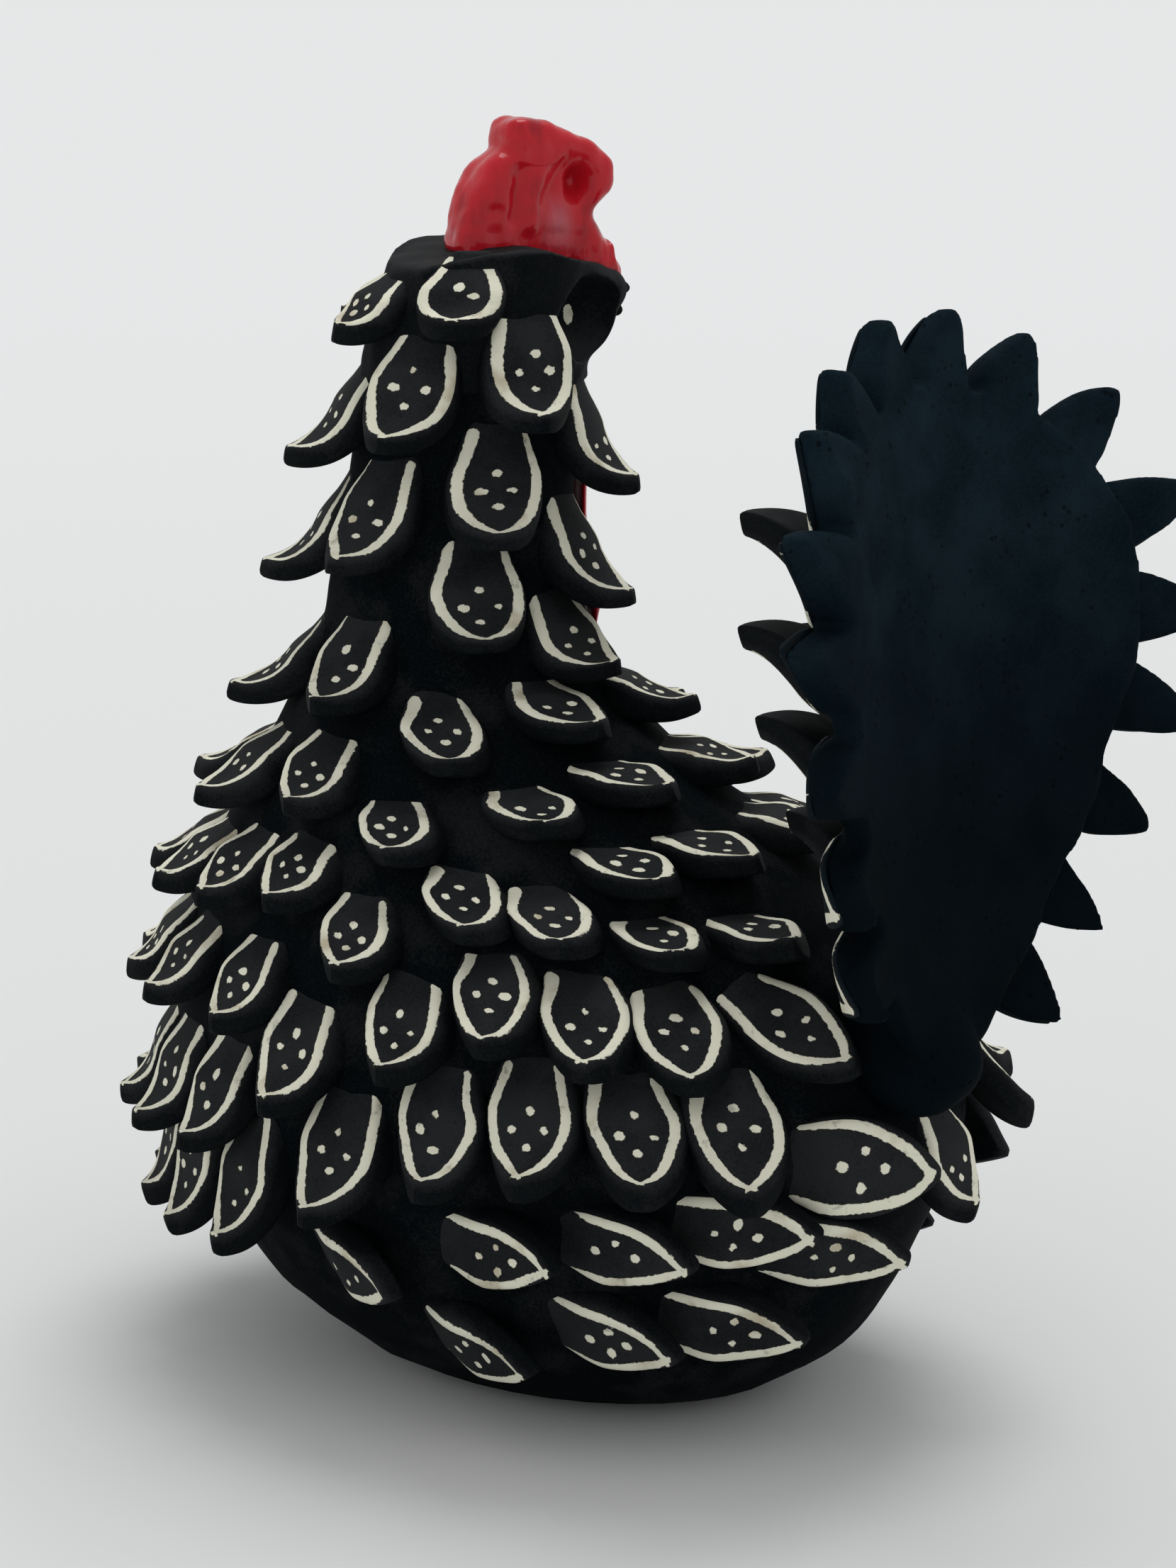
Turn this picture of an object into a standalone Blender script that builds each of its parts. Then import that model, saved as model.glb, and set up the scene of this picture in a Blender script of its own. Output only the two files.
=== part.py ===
"""Hollow black clay hen with rows of applied leaf-shaped feathers, for Blender 4.5.

Metres, +Z up. The breast faces -Y, the tail +Y and the hen's left side +X.
The foot stands on the floor with its centre at the origin. Run with
blender --background --python part.py, or from Blender's text editor.
"""
import math

import bmesh
import bpy
from mathutils import Matrix, Vector

# Clearance between pieces that touch on the real object
FIT_GAP = 0.0003
MM = 0.001

# Hollow body: heights, widths along X and lengths along Y of its oval sections
FOOT_WIDTH = 0.040
FOOT_LENGTH = 0.054
FOOT_THICKNESS = 0.003
BELLY_HEIGHT = 0.045
BELLY_WIDTH = 0.093
BELLY_LENGTH = 0.134
SHOULDER_HEIGHT = 0.084
SHOULDER_WIDTH = 0.070
SHOULDER_LENGTH = 0.096
NECK_HEIGHT = 0.122
NECK_WIDTH = 0.037
NECK_LENGTH = 0.039
CROWN_HEIGHT = 0.1730
CROWN_WIDTH = 0.029
BODY_WALL = 0.005

# Centres of the sections along Y
BELLY_CENTRE = -0.001
SHOULDER_CENTRE = -0.011
NECK_CENTRE = -0.021
CROWN_CENTRE = -0.014

# Levels where one thrown piece of the body meets the next
BOWL_TOP = 0.045
BACK_TOP = 0.100
HEAD_HEIGHT = 0.021
NECK_TOP = CROWN_HEIGHT - HEAD_HEIGHT

# Firing hole through the foot, off its centre
VENT_DIAMETER = 0.0035
VENT_OFFSET = 0.009

# Head, turned back over the hen's right wing
FACE_TURN = math.radians(155)
FACE_LENGTH = 0.0150
FACE_WIDTH = 0.0135
FACE_HEIGHT = 0.0105
FACE_REACH = 0.0050
FACE_LEVEL = CROWN_HEIGHT - FACE_HEIGHT
SOCKET_SIZE = 0.0065
BROW_START = 0.0010
BROW_SLOPE = math.radians(15)
BEAK_LENGTH = 0.0055
BEAK_WIDTH = 0.0080
BEAK_LEVEL = FACE_LEVEL - 0.0005
WATTLE_LENGTH = 0.0380
WATTLE_WIDTH = 0.0088
WATTLE_THICKNESS = 0.0040
WATTLE_SPREAD = 0.0052
WATTLE_DROP = 0.0245
WATTLE_FOOT = CROWN_HEIGHT - WATTLE_DROP - WATTLE_LENGTH
COMB_THICKNESS = 0.0095
COMB_BEVEL = 0.0022

# Feathers
FEATHER_THICKNESS = 0.0026
BAND_HEIGHT = 0.0022
# Half width of the band at a leaf's root, as a share of the leaf's width
BAND_SHARE = 0.4
# Places along a leaf, from root 0 to tip 1, that carry a row of its vertices
LEAF_STAGES = (0.0, 0.32, 0.60, 0.83)
ROOT_CURL = math.radians(6)
TIP_CURL = math.radians(100)
CURL_POWER = 1.8
# Share of the body's slope that a tip's curl leaves out, so that it doesn't turn up
SLOPE_SHARE = 0.75
CUP_DEPTH = 0.0011

# Tail scoop
TAIL_CENTRE_Y = 0.0650
TAIL_CENTRE_HEIGHT = 0.1150
TAIL_HALF_WIDTH = 0.0336
TAIL_HALF_HEIGHT = 0.0421
TAIL_STEM = 0.0560
TAIL_TAPER = 0.34
TAIL_STEM_TAPER = 0.41
TAIL_SAG = 0.0092
TAIL_TURN = math.radians(-6)
TAIL_LEAN = math.radians(7)
TAIL_ROLL = math.radians(8)
TAIL_THICKNESS = 0.0038
TAIL_ROOT_PLACE = (0.0070, 0.0655, 0.0620)
TAIL_ROOT_SIZE = (0.0075, 0.0110, 0.0095)
PETAL_COUNT = 17
PETAL_SPAN = math.radians(141)
PETAL_LENGTH = 0.0170
PETAL_REACH = 0.0100
PETAL_WIDTH = 0.0112
PETAL_THICKNESS = 0.0028
# How far a petal's tip sweeps back past the rim, and how far it leans out of the
# outward direction, at places round the rim in degrees from the top
PETAL_SWEEPS = ((0, 0.0030), (45, 0.0), (65, -0.0030), (92, -0.0025), (125, 0.0050))
PETAL_LEANS = ((-141, 14), (-125, 14), (-80, 10), (-50, 0), (35, 0), (55, 16), (90, 16), (110, 0))

# Feather rows that ring the neck and body, from the head down: the height that
# the row keeps to, feather length and width, whether the hen's right side
# mirrors the left, whether the row closes round the tail, and for each feather
# its angle in degrees, how far its tip is above that height in millimetres and,
# where it sweeps to the tail, how far it bends
FEATHER_ROWS = (
    ("neck_feather_row_1", CROWN_HEIGHT, 0.0130, 0.0112, False, False,
     ((-128, -14), (-80, -14.5), (-30, -14), (25, -11))),
    ("neck_feather_row_2", CROWN_HEIGHT, 0.0195, 0.0120, False, False,
     ((-139, -33), (-92, -34), (-44, -34), (8, -28), (62, -24), (109, -36))),
    ("neck_feather_row_3", NECK_HEIGHT, 0.0200, 0.0120, False, False,
     ((-147, 1), (-100, -1.5), (-51, -1.5), (-3, 3.5), (51, 8.5), (99, -4))),
    ("neck_feather_row_4", NECK_HEIGHT, 0.0190, 0.0122, False, False,
     ((-152, -19), (-105, -22.5), (-54, -23), (-7, -20.5), (44, -9), (86, -17))),
    ("neck_feather_row_5", SHOULDER_HEIGHT, 0.0170, 0.0125, True, True,
     ((-72, -0.5), (-42, 1), (-12, 3.5), (26, 10.5), (66, 13.6))),
    ("body_feather_row_1", SHOULDER_HEIGHT, 0.0152, 0.0122, True, True,
     ((-90, -13), (-68, -13), (-49, -12.5), (-31, -11), (-14, -9), (9, -1), (41, 3), (70, 6))),
    ("body_feather_row_2", SHOULDER_HEIGHT, 0.0160, 0.0112, True, True,
     ((-90, -27), (-74, -27), (-58, -27), (-41, -26.5), (-22, -25.5), (-1, -16), (19, -9.5),
      (33, -11), (52, -4.5), (73, -3))),
    ("body_feather_row_3", BELLY_HEIGHT, 0.0192, 0.0120, True, False,
     ((-90, -6.5), (-74, -6.5), (-58, -6), (-43, -5.5), (-28, -4.8), (-11, 5.5), (7, 11.3),
      (21, 16), (33.5, 14), (46.5, 12.5), (60, 13, 25))),
    ("body_feather_row_4", BELLY_HEIGHT, 0.0205, 0.0128, True, False,
     ((-90, -18.5), (-71, -18.5), (-54, -18.3), (-39, -18.2), (-23, -16.3), (-4, -8), (11, -1.5),
      (24, 0.5), (37, 0.5), (50.5, 0.5), (64, -4, 60))),
)

# Short feather rows on each flank, swept to the tail: the height that the row
# keeps to, length, curl and sweep in degrees, and for each feather its angle
# and how far its root is above that height in millimetres
FLANK_ROWS = (
    ("flank_feather_row_1", SHOULDER_HEIGHT, 0.0160, 82, 0, ((49, -4), (68, -4.6))),
    ("flank_feather_row_2", BELLY_HEIGHT, 0.0215, 50, 96,
     ((-10, -15), (13, -8), (30, -5), (45, -2), (60, -6))),
    ("flank_feather_row_3", BELLY_HEIGHT, 0.0215, 50, 96, ((7, -25), (29, -20), (46, -18.5))),
)
FLANK_FEATHER_WIDTH = 0.0118
BEND_RATE = 2.4
RIGHT_BEND_SHARE = 0.4
RUMP_RISE = 0.0040
RUMP_LENGTH = 0.0150

# Feather rows on the front of the tail: level of the roots over the middle of
# the scoop, count, and the distance from the first to the last feather
TAIL_ROWS = (
    ("tail_feather_row_1", 0.0085, 3, 0.0310),
    ("tail_feather_row_2", -0.0070, 4, 0.0338),
    ("tail_feather_row_3", -0.0195, 3, 0.0254),
    ("tail_feather_row_4", -0.0332, 2, 0.0108),
)
TAIL_FEATHER_LENGTH = 0.0255
TAIL_FEATHER_WIDTH = 0.0110
TAIL_FEATHER_THICKNESS = 0.0036
TAIL_FAN = math.radians(14)
TAIL_ROOT_CURL = math.radians(22)
TAIL_CURL = math.radians(100)
BAND_STEP = 0.0060

REAR = math.radians(90)
STEPS_ROUND = 36
# Small steps that slopes of the surface are measured over
STEP = 0.0005
STEP_ROUND = 0.01

CLAY = (0.022, 0.024, 0.028, 1.0)
CLAY_PALE = (0.040, 0.042, 0.045, 1.0)
RED = (0.48, 0.012, 0.020, 1.0)


def new_material(name, colour, roughness):
    """Return a Principled material with one colour."""
    material = bpy.data.materials.new(name)
    material.use_nodes = True
    shader = material.node_tree.nodes["Principled BSDF"]
    shader.inputs["Base Color"].default_value = colour
    shader.inputs["Roughness"].default_value = roughness
    shader.inputs["Metallic"].default_value = 0.0
    return material


def clear_scene():
    """Remove every object of the open scene."""
    for item in list(bpy.data.objects):
        bpy.data.objects.remove(item, do_unlink=True)


def new_collection(name):
    """Return a new collection linked to the scene."""
    collection = bpy.data.collections.new(name)
    bpy.context.scene.collection.children.link(collection)
    return collection


# Body surface

def stations():
    """Sections of the body: height, half width, half length, centre along Y."""
    foot_x, foot_y = FOOT_WIDTH / 2, FOOT_LENGTH / 2
    belly_x, belly_y = BELLY_WIDTH / 2, BELLY_LENGTH / 2
    shoulder_x, shoulder_y = SHOULDER_WIDTH / 2, SHOULDER_LENGTH / 2
    neck_x, neck_y = NECK_WIDTH / 2, NECK_LENGTH / 2
    crown = CROWN_WIDTH / 2

    def between(low, high, share):
        return low + (high - low) * share

    rise = BELLY_HEIGHT
    drop = SHOULDER_HEIGHT - BELLY_HEIGHT
    slope = NECK_HEIGHT - SHOULDER_HEIGHT
    throat = CROWN_HEIGHT - NECK_HEIGHT
    return (
        (0.0, foot_x, foot_y, 0.002),
        (FOOT_THICKNESS, between(foot_x, belly_x, 0.26), between(foot_y, belly_y, 0.23), 0.002),
        (rise * 0.27, between(foot_x, belly_x, 0.64), between(foot_y, belly_y, 0.58), 0.0),
        (rise * 0.62, between(foot_x, belly_x, 0.90), between(foot_y, belly_y, 0.86), -0.002),
        (rise, belly_x, belly_y, BELLY_CENTRE),
        (rise + drop * 0.38, between(belly_x, shoulder_x, 0.13),
         between(belly_y, shoulder_y, 0.11), between(BELLY_CENTRE, SHOULDER_CENTRE, 0.2)),
        (rise + drop * 0.70, between(belly_x, shoulder_x, 0.48),
         between(belly_y, shoulder_y, 0.42), between(BELLY_CENTRE, SHOULDER_CENTRE, 0.5)),
        (SHOULDER_HEIGHT, shoulder_x, shoulder_y, SHOULDER_CENTRE),
        (SHOULDER_HEIGHT + slope * 0.32, between(shoulder_x, neck_x, 0.45),
         between(shoulder_y, neck_y, 0.49), between(SHOULDER_CENTRE, NECK_CENTRE, 0.65)),
        (SHOULDER_HEIGHT + slope * 0.63, between(shoulder_x, neck_x, 0.82),
         between(shoulder_y, neck_y, 0.85), NECK_CENTRE),
        (NECK_HEIGHT, neck_x, neck_y, NECK_CENTRE),
        (NECK_HEIGHT + throat * 0.38, between(neck_x, crown, 0.38),
         between(neck_y, crown, 0.40), between(NECK_CENTRE, CROWN_CENTRE, 0.28)),
        (NECK_HEIGHT + throat * 0.72, between(neck_x, crown, 0.52),
         between(neck_y, crown, 0.60), between(NECK_CENTRE, CROWN_CENTRE, 0.64)),
        (CROWN_HEIGHT, crown, crown, CROWN_CENTRE),
    )


STATIONS = stations()


def section(height):
    """Half width, half length and centre of the body at a height, smoothly joined."""
    last = len(STATIONS) - 2
    height = min(max(height, STATIONS[0][0]), STATIONS[-1][0])
    low = 0
    while low < last and height > STATIONS[low + 1][0]:
        low += 1
    high = low + 1
    step = STATIONS[high][0] - STATIONS[low][0]
    share = (height - STATIONS[low][0]) / step
    values = []
    for column in (1, 2, 3):
        slopes = []
        for index in (low, high):
            before = STATIONS[max(index - 1, 0)]
            after = STATIONS[min(index + 1, len(STATIONS) - 1)]
            slopes.append((after[column] - before[column]) / (after[0] - before[0]) * step)
        start, end = STATIONS[low][column], STATIONS[high][column]
        cubic = 2 * start - 2 * end + slopes[0] + slopes[1]
        square = -3 * start + 3 * end - 2 * slopes[0] - slopes[1]
        values.append(((cubic * share + square) * share + slopes[0]) * share + start)
    return values


def body_point(angle, height, lift=0.0):
    """Point of the body's outer surface, lifted along its outward normal."""
    def raw(turn, level):
        half_x, half_y, centre = section(level)
        return Vector((half_x * math.cos(turn), centre + half_y * math.sin(turn), level))

    point = raw(angle, height)
    if lift:
        around = raw(angle + STEP_ROUND, height) - raw(angle - STEP_ROUND, height)
        upward = raw(angle, height + STEP) - raw(angle, height - STEP)
        point = point + around.cross(upward).normalized() * lift
    return point


def climb(angle, height, distance):
    """Height reached by going a distance up the surface, or down if negative."""
    steps = 8
    for _ in range(steps):
        run = body_point(angle, height + STEP) - body_point(angle, height - STEP)
        height += distance / steps * STEP * 2 / run.length
    return height


def tip_curl(angle, height):
    """Curl of a feather's tip at a place: less where the body slopes to the neck."""
    run = body_point(angle, height + STEP) - body_point(angle, height - STEP)
    inward = -run.x * math.cos(angle) - run.y * math.sin(angle)
    return TIP_CURL - SLOPE_SHARE * max(math.atan2(inward, run.z), 0.0)


def turn_by(angle, height, distance):
    """Angle reached by going a distance round the surface."""
    run = body_point(angle + STEP_ROUND, height) - body_point(angle - STEP_ROUND, height)
    return angle + distance * STEP_ROUND * 2 / run.length


def smooth_step(value):
    """Ramp from 0 to 1 with a flat start and end."""
    value = min(max(value, 0.0), 1.0)
    return value * value * (3 - 2 * value)


# Objects from meshes

def mesh_object(name, bm, collection, material):
    """Turn a bmesh into a named object with one material."""
    bmesh.ops.recalc_face_normals(bm, faces=bm.faces)
    mesh = bpy.data.meshes.new(name)
    bm.to_mesh(mesh)
    bm.free()
    mesh.materials.append(material)
    mesh.shade_smooth()
    mesh.set_sharp_from_angle(angle=math.radians(50))
    item = bpy.data.objects.new(name, mesh)
    collection.objects.link(item)
    return item


def boolean(item, cutter, operation="DIFFERENCE"):
    """Cut or join an object with another, kept as a live modifier."""
    modifier = item.modifiers.new(operation.title(), "BOOLEAN")
    modifier.operation = operation
    modifier.solver = "EXACT"
    modifier.object = cutter
    return modifier


def as_cutter(item):
    """Hide an object that only cuts or joins others."""
    item.hide_render = True
    item.display_type = "WIRE"
    return item


def grid_faces(bm, rows, closed):
    """Bridge rows of vertices with quads; closed rows wrap round."""
    for upper, lower in zip(rows, rows[1:]):
        count = len(upper)
        for index in range(count if closed else count - 1):
            after = (index + 1) % count
            bm.faces.new((upper[index], upper[after], lower[after], lower[index]))


def body_solid(name, bottom, top, levels, inner, outer, collection, material):
    """Closed oval wall or, with no inner depth, a closed solid between two levels."""
    bm = bmesh.new()
    heights = [bottom + (top - bottom) * index / levels for index in range(levels + 1)]
    rings = []
    for height in heights:
        rings.append([bm.verts.new(body_point(2 * math.pi * step / STEPS_ROUND, height, outer))
                      for step in range(STEPS_ROUND)])
    for ring, height in zip(rings, heights):
        for vert in ring:
            vert.co.z = min(max(vert.co.z, bottom), top)
            if height in (heights[0], heights[-1]):
                vert.co.z = height
    if inner is not None:
        for height in reversed(heights):
            half_x, half_y, centre = section(height)
            ring = []
            for step in range(STEPS_ROUND):
                angle = 2 * math.pi * step / STEPS_ROUND
                ring.append(bm.verts.new(((half_x - inner) * math.cos(angle),
                                          centre + (half_y - inner) * math.sin(angle), height)))
            rings.append(ring)
        rings.append(rings[0])
        grid_faces(bm, rings, True)
    else:
        grid_faces(bm, rings, True)
        bm.faces.new(rings[0])
        bm.faces.new(list(reversed(rings[-1])))
    return mesh_object(name, bm, collection, material)


# Feather rows

def leaf_width(along):
    """Share of the full width at a place between root 0 and tip 1."""
    return (0.80 + 0.75 * along - 0.95 * along ** 2) * math.sqrt(max(1.0 - along ** 3.2, 0.0))


def spine(share, length, root_curl, end_curl):
    """Distance along the surface and away from it for a place on a curling spine."""
    parts = 16
    along, lift = 0.0, 0.0
    for part in range(parts):
        place = (part + 0.5) / parts * share
        heading = root_curl + (end_curl - root_curl) * place ** CURL_POWER
        along += math.cos(heading) * length * share / parts
        lift += math.sin(heading) * length * share / parts
    return along, lift


def feather_row(name, slots, place, shape, closed, collection, material):
    """One band with a leaf for each slot, as a single closed piece.

    place(slot, along, across, lift) maps a distance below the root line and a
    distance to the side to a point in space. The shape gives the leaf's
    length, width, thickness, the curl of its root and each tip's curl.
    """
    length, width, thickness, root_curl, curls = shape
    bm = bmesh.new()
    columns = (-1.0, 0.0, 1.0)
    bands = []
    for slot, curl in zip(slots, curls):
        rows = [[bm.verts.new(place(slot, -BAND_HEIGHT, side * width * BAND_SHARE, FIT_GAP))
                 for side in columns]]
        for stage in LEAF_STAGES:
            half = leaf_width(stage) * width / 2
            along, lift = spine(stage, length, root_curl, curl)
            rows.append([bm.verts.new(place(slot, along, side * half,
                                            FIT_GAP + lift + CUP_DEPTH * abs(side) * stage))
                         for side in columns])
        along, lift = spine(1.0, length, root_curl, curl)
        tip = bm.verts.new(place(slot, along, 0.0, FIT_GAP + lift))
        grid_faces(bm, rows, False)
        last = rows[-1]
        bm.faces.new((last[0], last[1], tip))
        bm.faces.new((last[1], last[2], tip))
        bands.append((rows[0], rows[1]))
    ends = list(zip(slots[1:], bands[1:]))
    if closed:
        first = slots[0]
        ends.append(((first[0] + 2 * math.pi, *first[1:]), bands[0]))
    for slot, band, (slot_after, after) in zip(slots, bands, ends):
        upper, lower = band[0][-1], band[1][-1]
        gap = (upper.co - after[0][0].co).length
        parts = 1 + int(gap / BAND_STEP)
        for part in range(1, parts):
            reach = (width * BAND_SHARE + gap * part / parts) / (width * BAND_SHARE * 2 + gap)
            between = [a + (b - a) * reach for a, b in zip(slot, slot_after)]
            upper_after = bm.verts.new(place(between, -BAND_HEIGHT, 0.0, FIT_GAP))
            lower_after = bm.verts.new(place(between, 0.0, 0.0, FIT_GAP))
            bm.faces.new((upper, upper_after, lower_after, lower))
            upper, lower = upper_after, lower_after
        bm.faces.new((upper, after[0][0], after[1][0], lower))
    item = mesh_object(name, bm, collection, material)
    thicken(item, place, slots[0], thickness)
    return item


def thicken(item, place, slot, thickness):
    """Give an open sheet its thickness on the side away from the surface below."""
    mesh = item.data
    away = place(slot, 0.0, 0.0, 0.01) - place(slot, 0.0, 0.0, 0.0)
    if mesh.polygons[0].normal.dot(away) < 0:
        mesh.flip_normals()
    solid = item.modifiers.new("Thickness", "SOLIDIFY")
    solid.thickness = thickness
    solid.offset = 1.0
    solid.use_even_offset = False


def body_place(slot, along, across, lift):
    """Map a feather's own distances to the body, its tip bent to one side."""
    angle, root, bend, reach = slot
    share = max(along / reach, 0.0)
    turn = bend * smooth_step(share * BEND_RATE)
    down, side = along, 0.0
    if bend and along > 0:
        down = 0.0
        parts = 12
        for part in range(parts):
            here = bend * smooth_step((part + 0.5) / parts * share * BEND_RATE)
            down += along / parts * math.cos(here)
            side += along / parts * math.sin(here)
    down -= across * math.sin(turn)
    side += across * math.cos(turn)
    height = climb(angle, root, -down)
    return body_point(turn_by(angle, height, side), height, lift)


def mirrored(feathers):
    """Feathers of the left side and their copies on the right, in order round the body."""
    both = [(angle, level, bend[0] if bend else 0) for angle, level, *bend in feathers]
    for angle, level, bend in list(both):
        if angle != -90:
            both.append((180 - angle, level, -bend * RIGHT_BEND_SHARE))
    return sorted((90 + (angle - 90) % 360, level, bend) for angle, level, bend in both)


def ring_rows(collection, material):
    """Feather rows round the neck and body."""
    for name, base, length, width, mirror, closed, feathers in FEATHER_ROWS:
        row = mirrored(feathers) if mirror else [(*feather, 0) for feather in feathers]
        slots, curls = [], []
        for degrees, level, bend in row:
            angle = math.radians(degrees)
            curls.append(tip_curl(angle, base + level * MM))
            reach = spine(1.0, length, ROOT_CURL, curls[-1])[0]
            root = climb(angle, base + level * MM, reach)
            slots.append((angle, root, math.radians(bend), reach))
        shape = (length, width, FEATHER_THICKNESS, ROOT_CURL, curls)
        feather_row(name, slots, body_place, shape, closed, collection, material)


def flank_rows(collection, material):
    """Short rows of feathers on both flanks, one feather shorter on the right."""
    for name, base, length, curl, bend, feathers in FLANK_ROWS:
        end_curl = math.radians(curl)
        reach = spine(1.0, length, ROOT_CURL, end_curl)[0]
        for side, mirror in (("left", False), ("right", True)):
            slots = []
            for degrees, level in feathers[:-1] if mirror else feathers:
                angle = math.radians(180 - degrees if mirror else degrees)
                turn = math.radians(-bend if mirror else bend)
                slots.append((angle, base + level * MM, turn, reach))
            if mirror:
                slots.reverse()
            shape = (length, FLANK_FEATHER_WIDTH, FEATHER_THICKNESS, ROOT_CURL,
                     [end_curl] * len(slots))
            feather_row(f"{name}_{side}", slots, body_place, shape, False,
                        collection, material)


def rump_feather(collection, material):
    """Single feather under the root of the tail."""
    reach = spine(1.0, RUMP_LENGTH, ROOT_CURL, TIP_CURL)[0]
    slots = [(REAR, BELLY_HEIGHT + RUMP_RISE, 0.0, reach)]
    shape = (RUMP_LENGTH, FLANK_FEATHER_WIDTH, FEATHER_THICKNESS, ROOT_CURL, [TIP_CURL])
    feather_row("rump_feather", slots, body_place, shape, False, collection, material)


# Body pieces

def body_shells(collection, cutters, material):
    """Foot, bowl, back and neck of the hollow body."""
    foot = body_solid("foot_plate", 0.0, FOOT_THICKNESS, 1, None, 0.0, collection, material)
    bpy.ops.mesh.primitive_cylinder_add(vertices=16, radius=VENT_DIAMETER / 2,
                                        depth=FOOT_THICKNESS * 4,
                                        location=(VENT_OFFSET, VENT_OFFSET, 0))
    vent = bpy.context.object
    vent.name = "vent_cutter"
    move_to(vent, cutters)
    boolean(foot, as_cutter(vent))
    body_solid("bowl_shell", FOOT_THICKNESS + FIT_GAP, BOWL_TOP - FIT_GAP / 2, 6,
               BODY_WALL, 0.0, collection, material)
    body_solid("back_shell", BOWL_TOP + FIT_GAP / 2, BACK_TOP - FIT_GAP / 2, 7,
               BODY_WALL, 0.0, collection, material)
    body_solid("neck_shell", BACK_TOP + FIT_GAP / 2, NECK_TOP - FIT_GAP / 2, 14,
               BODY_WALL, 0.0, collection, material)


def move_to(item, collection):
    """Move an object to one collection only."""
    for owner in list(item.users_collection):
        owner.objects.unlink(item)
    collection.objects.link(item)


def block(name, size, collection):
    """Box with its size applied."""
    bpy.ops.mesh.primitive_cube_add(size=1.0)
    item = bpy.context.object
    item.name = name
    item.data.transform(Matrix.Diagonal((*size, 1)))
    move_to(item, collection)
    return item


def face_axis():
    """Direction of the face and the point on the neck's axis under it."""
    return Vector((math.cos(FACE_TURN), math.sin(FACE_TURN), 0)), Vector((0, CROWN_CENTRE, 0))


def sphere(name, centre, radii, turn, collection, material, segments=20, rings=12):
    """Scaled ball with its own scale applied."""
    bpy.ops.mesh.primitive_uv_sphere_add(segments=segments, ring_count=rings, radius=1.0)
    item = bpy.context.object
    item.name = name
    item.data.name = name
    item.data.transform(Matrix.Diagonal((*radii, 1)))
    item.data.materials.append(material)
    item.location = centre
    item.rotation_euler = (0, 0, turn)
    move_to(item, collection)
    return item


def head(collection, cutters, material):
    """Crown of the neck with the face, its eye sockets and the flat seat below."""
    facing, axis = face_axis()
    skull = body_solid("head", NECK_TOP + FIT_GAP / 2, CROWN_HEIGHT, 4, None, 0.0,
                       collection, material)
    face = sphere("face_joiner", axis + facing * FACE_REACH + Vector((0, 0, FACE_LEVEL)),
                  (FACE_LENGTH, FACE_WIDTH, FACE_HEIGHT), FACE_TURN, cutters, material)
    boolean(skull, as_cutter(face), "UNION")
    for sign in (-1, 1):
        sideways = Vector((-facing.y, facing.x, 0)) * sign
        centre = (axis + facing * (FACE_REACH + FACE_LENGTH * 0.45)
                  + sideways * (FACE_WIDTH + SOCKET_SIZE * 0.35)
                  + Vector((0, 0, FACE_LEVEL - 0.002)))
        socket = sphere(f"socket_cutter_{'a' if sign < 0 else 'b'}", centre,
                        (SOCKET_SIZE, SOCKET_SIZE, SOCKET_SIZE), 0.0, cutters, material, 16, 10)
        boolean(skull, as_cutter(socket))
    wide, size = BELLY_LENGTH, 2 * HEAD_HEIGHT
    below = block("seat_cutter", (wide, wide, size), cutters)
    below.location = (0, CROWN_CENTRE, NECK_TOP + FIT_GAP / 2 - size / 2)
    boolean(skull, as_cutter(below))
    above = block("brow_cutter", (wide, wide, size), cutters)
    slope = Matrix.Rotation(BROW_SLOPE, 4, "Y") @ Matrix.Translation((0, 0, size / 2))
    above.data.transform(slope)
    above.location = axis + facing * BROW_START + Vector((0, 0, CROWN_HEIGHT))
    above.rotation_euler = (0, 0, FACE_TURN)
    boolean(skull, as_cutter(above))


def beak(collection, material):
    """Upper and lower beak as short cones at the front of the face."""
    facing, axis = face_axis()
    start = axis + facing * (FACE_REACH + FACE_LENGTH + FIT_GAP)
    for name, level, length, width in (
            ("beak_upper", BEAK_LEVEL + 0.0016, BEAK_LENGTH, BEAK_WIDTH),
            ("beak_lower", BEAK_LEVEL - 0.0026, BEAK_LENGTH * 0.7, BEAK_WIDTH * 0.8)):
        bpy.ops.mesh.primitive_cone_add(vertices=14, radius1=width / 2, radius2=width * 0.12,
                                        depth=length)
        cone = bpy.context.object
        cone.name = name
        cone.data.name = name
        cone.data.transform(Matrix.Diagonal((0.46, 1.0, 1.0, 1)))
        cone.data.transform(Matrix.Rotation(math.radians(90), 4, "Y"))
        cone.data.materials.append(material)
        cone.location = start + facing * length / 2 + Vector((0, 0, level))
        cone.rotation_euler = (0, 0, FACE_TURN)
        move_to(cone, collection)


def wattles(collection, material):
    """Two long flat drops that hang in front of the neck."""
    for name, sign in (("wattle_left", -1), ("wattle_right", 1)):
        drop = sphere(name, (0, 0, 0), (WATTLE_THICKNESS / 2, WATTLE_WIDTH / 2,
                                        WATTLE_LENGTH / 2), 0.0, collection, material, 16, 12)
        for vert in drop.data.vertices:
            share = vert.co.z / (WATTLE_LENGTH / 2)
            side = vert.co.y * (1.0 - 0.22 * share) + sign * WATTLE_SPREAD
            height = WATTLE_FOOT + WATTLE_LENGTH / 2 + vert.co.z
            lift = WATTLE_THICKNESS / 2 + FIT_GAP * 2 + vert.co.x
            vert.co = body_point(turn_by(FACE_TURN, height, side), height, lift)


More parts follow.
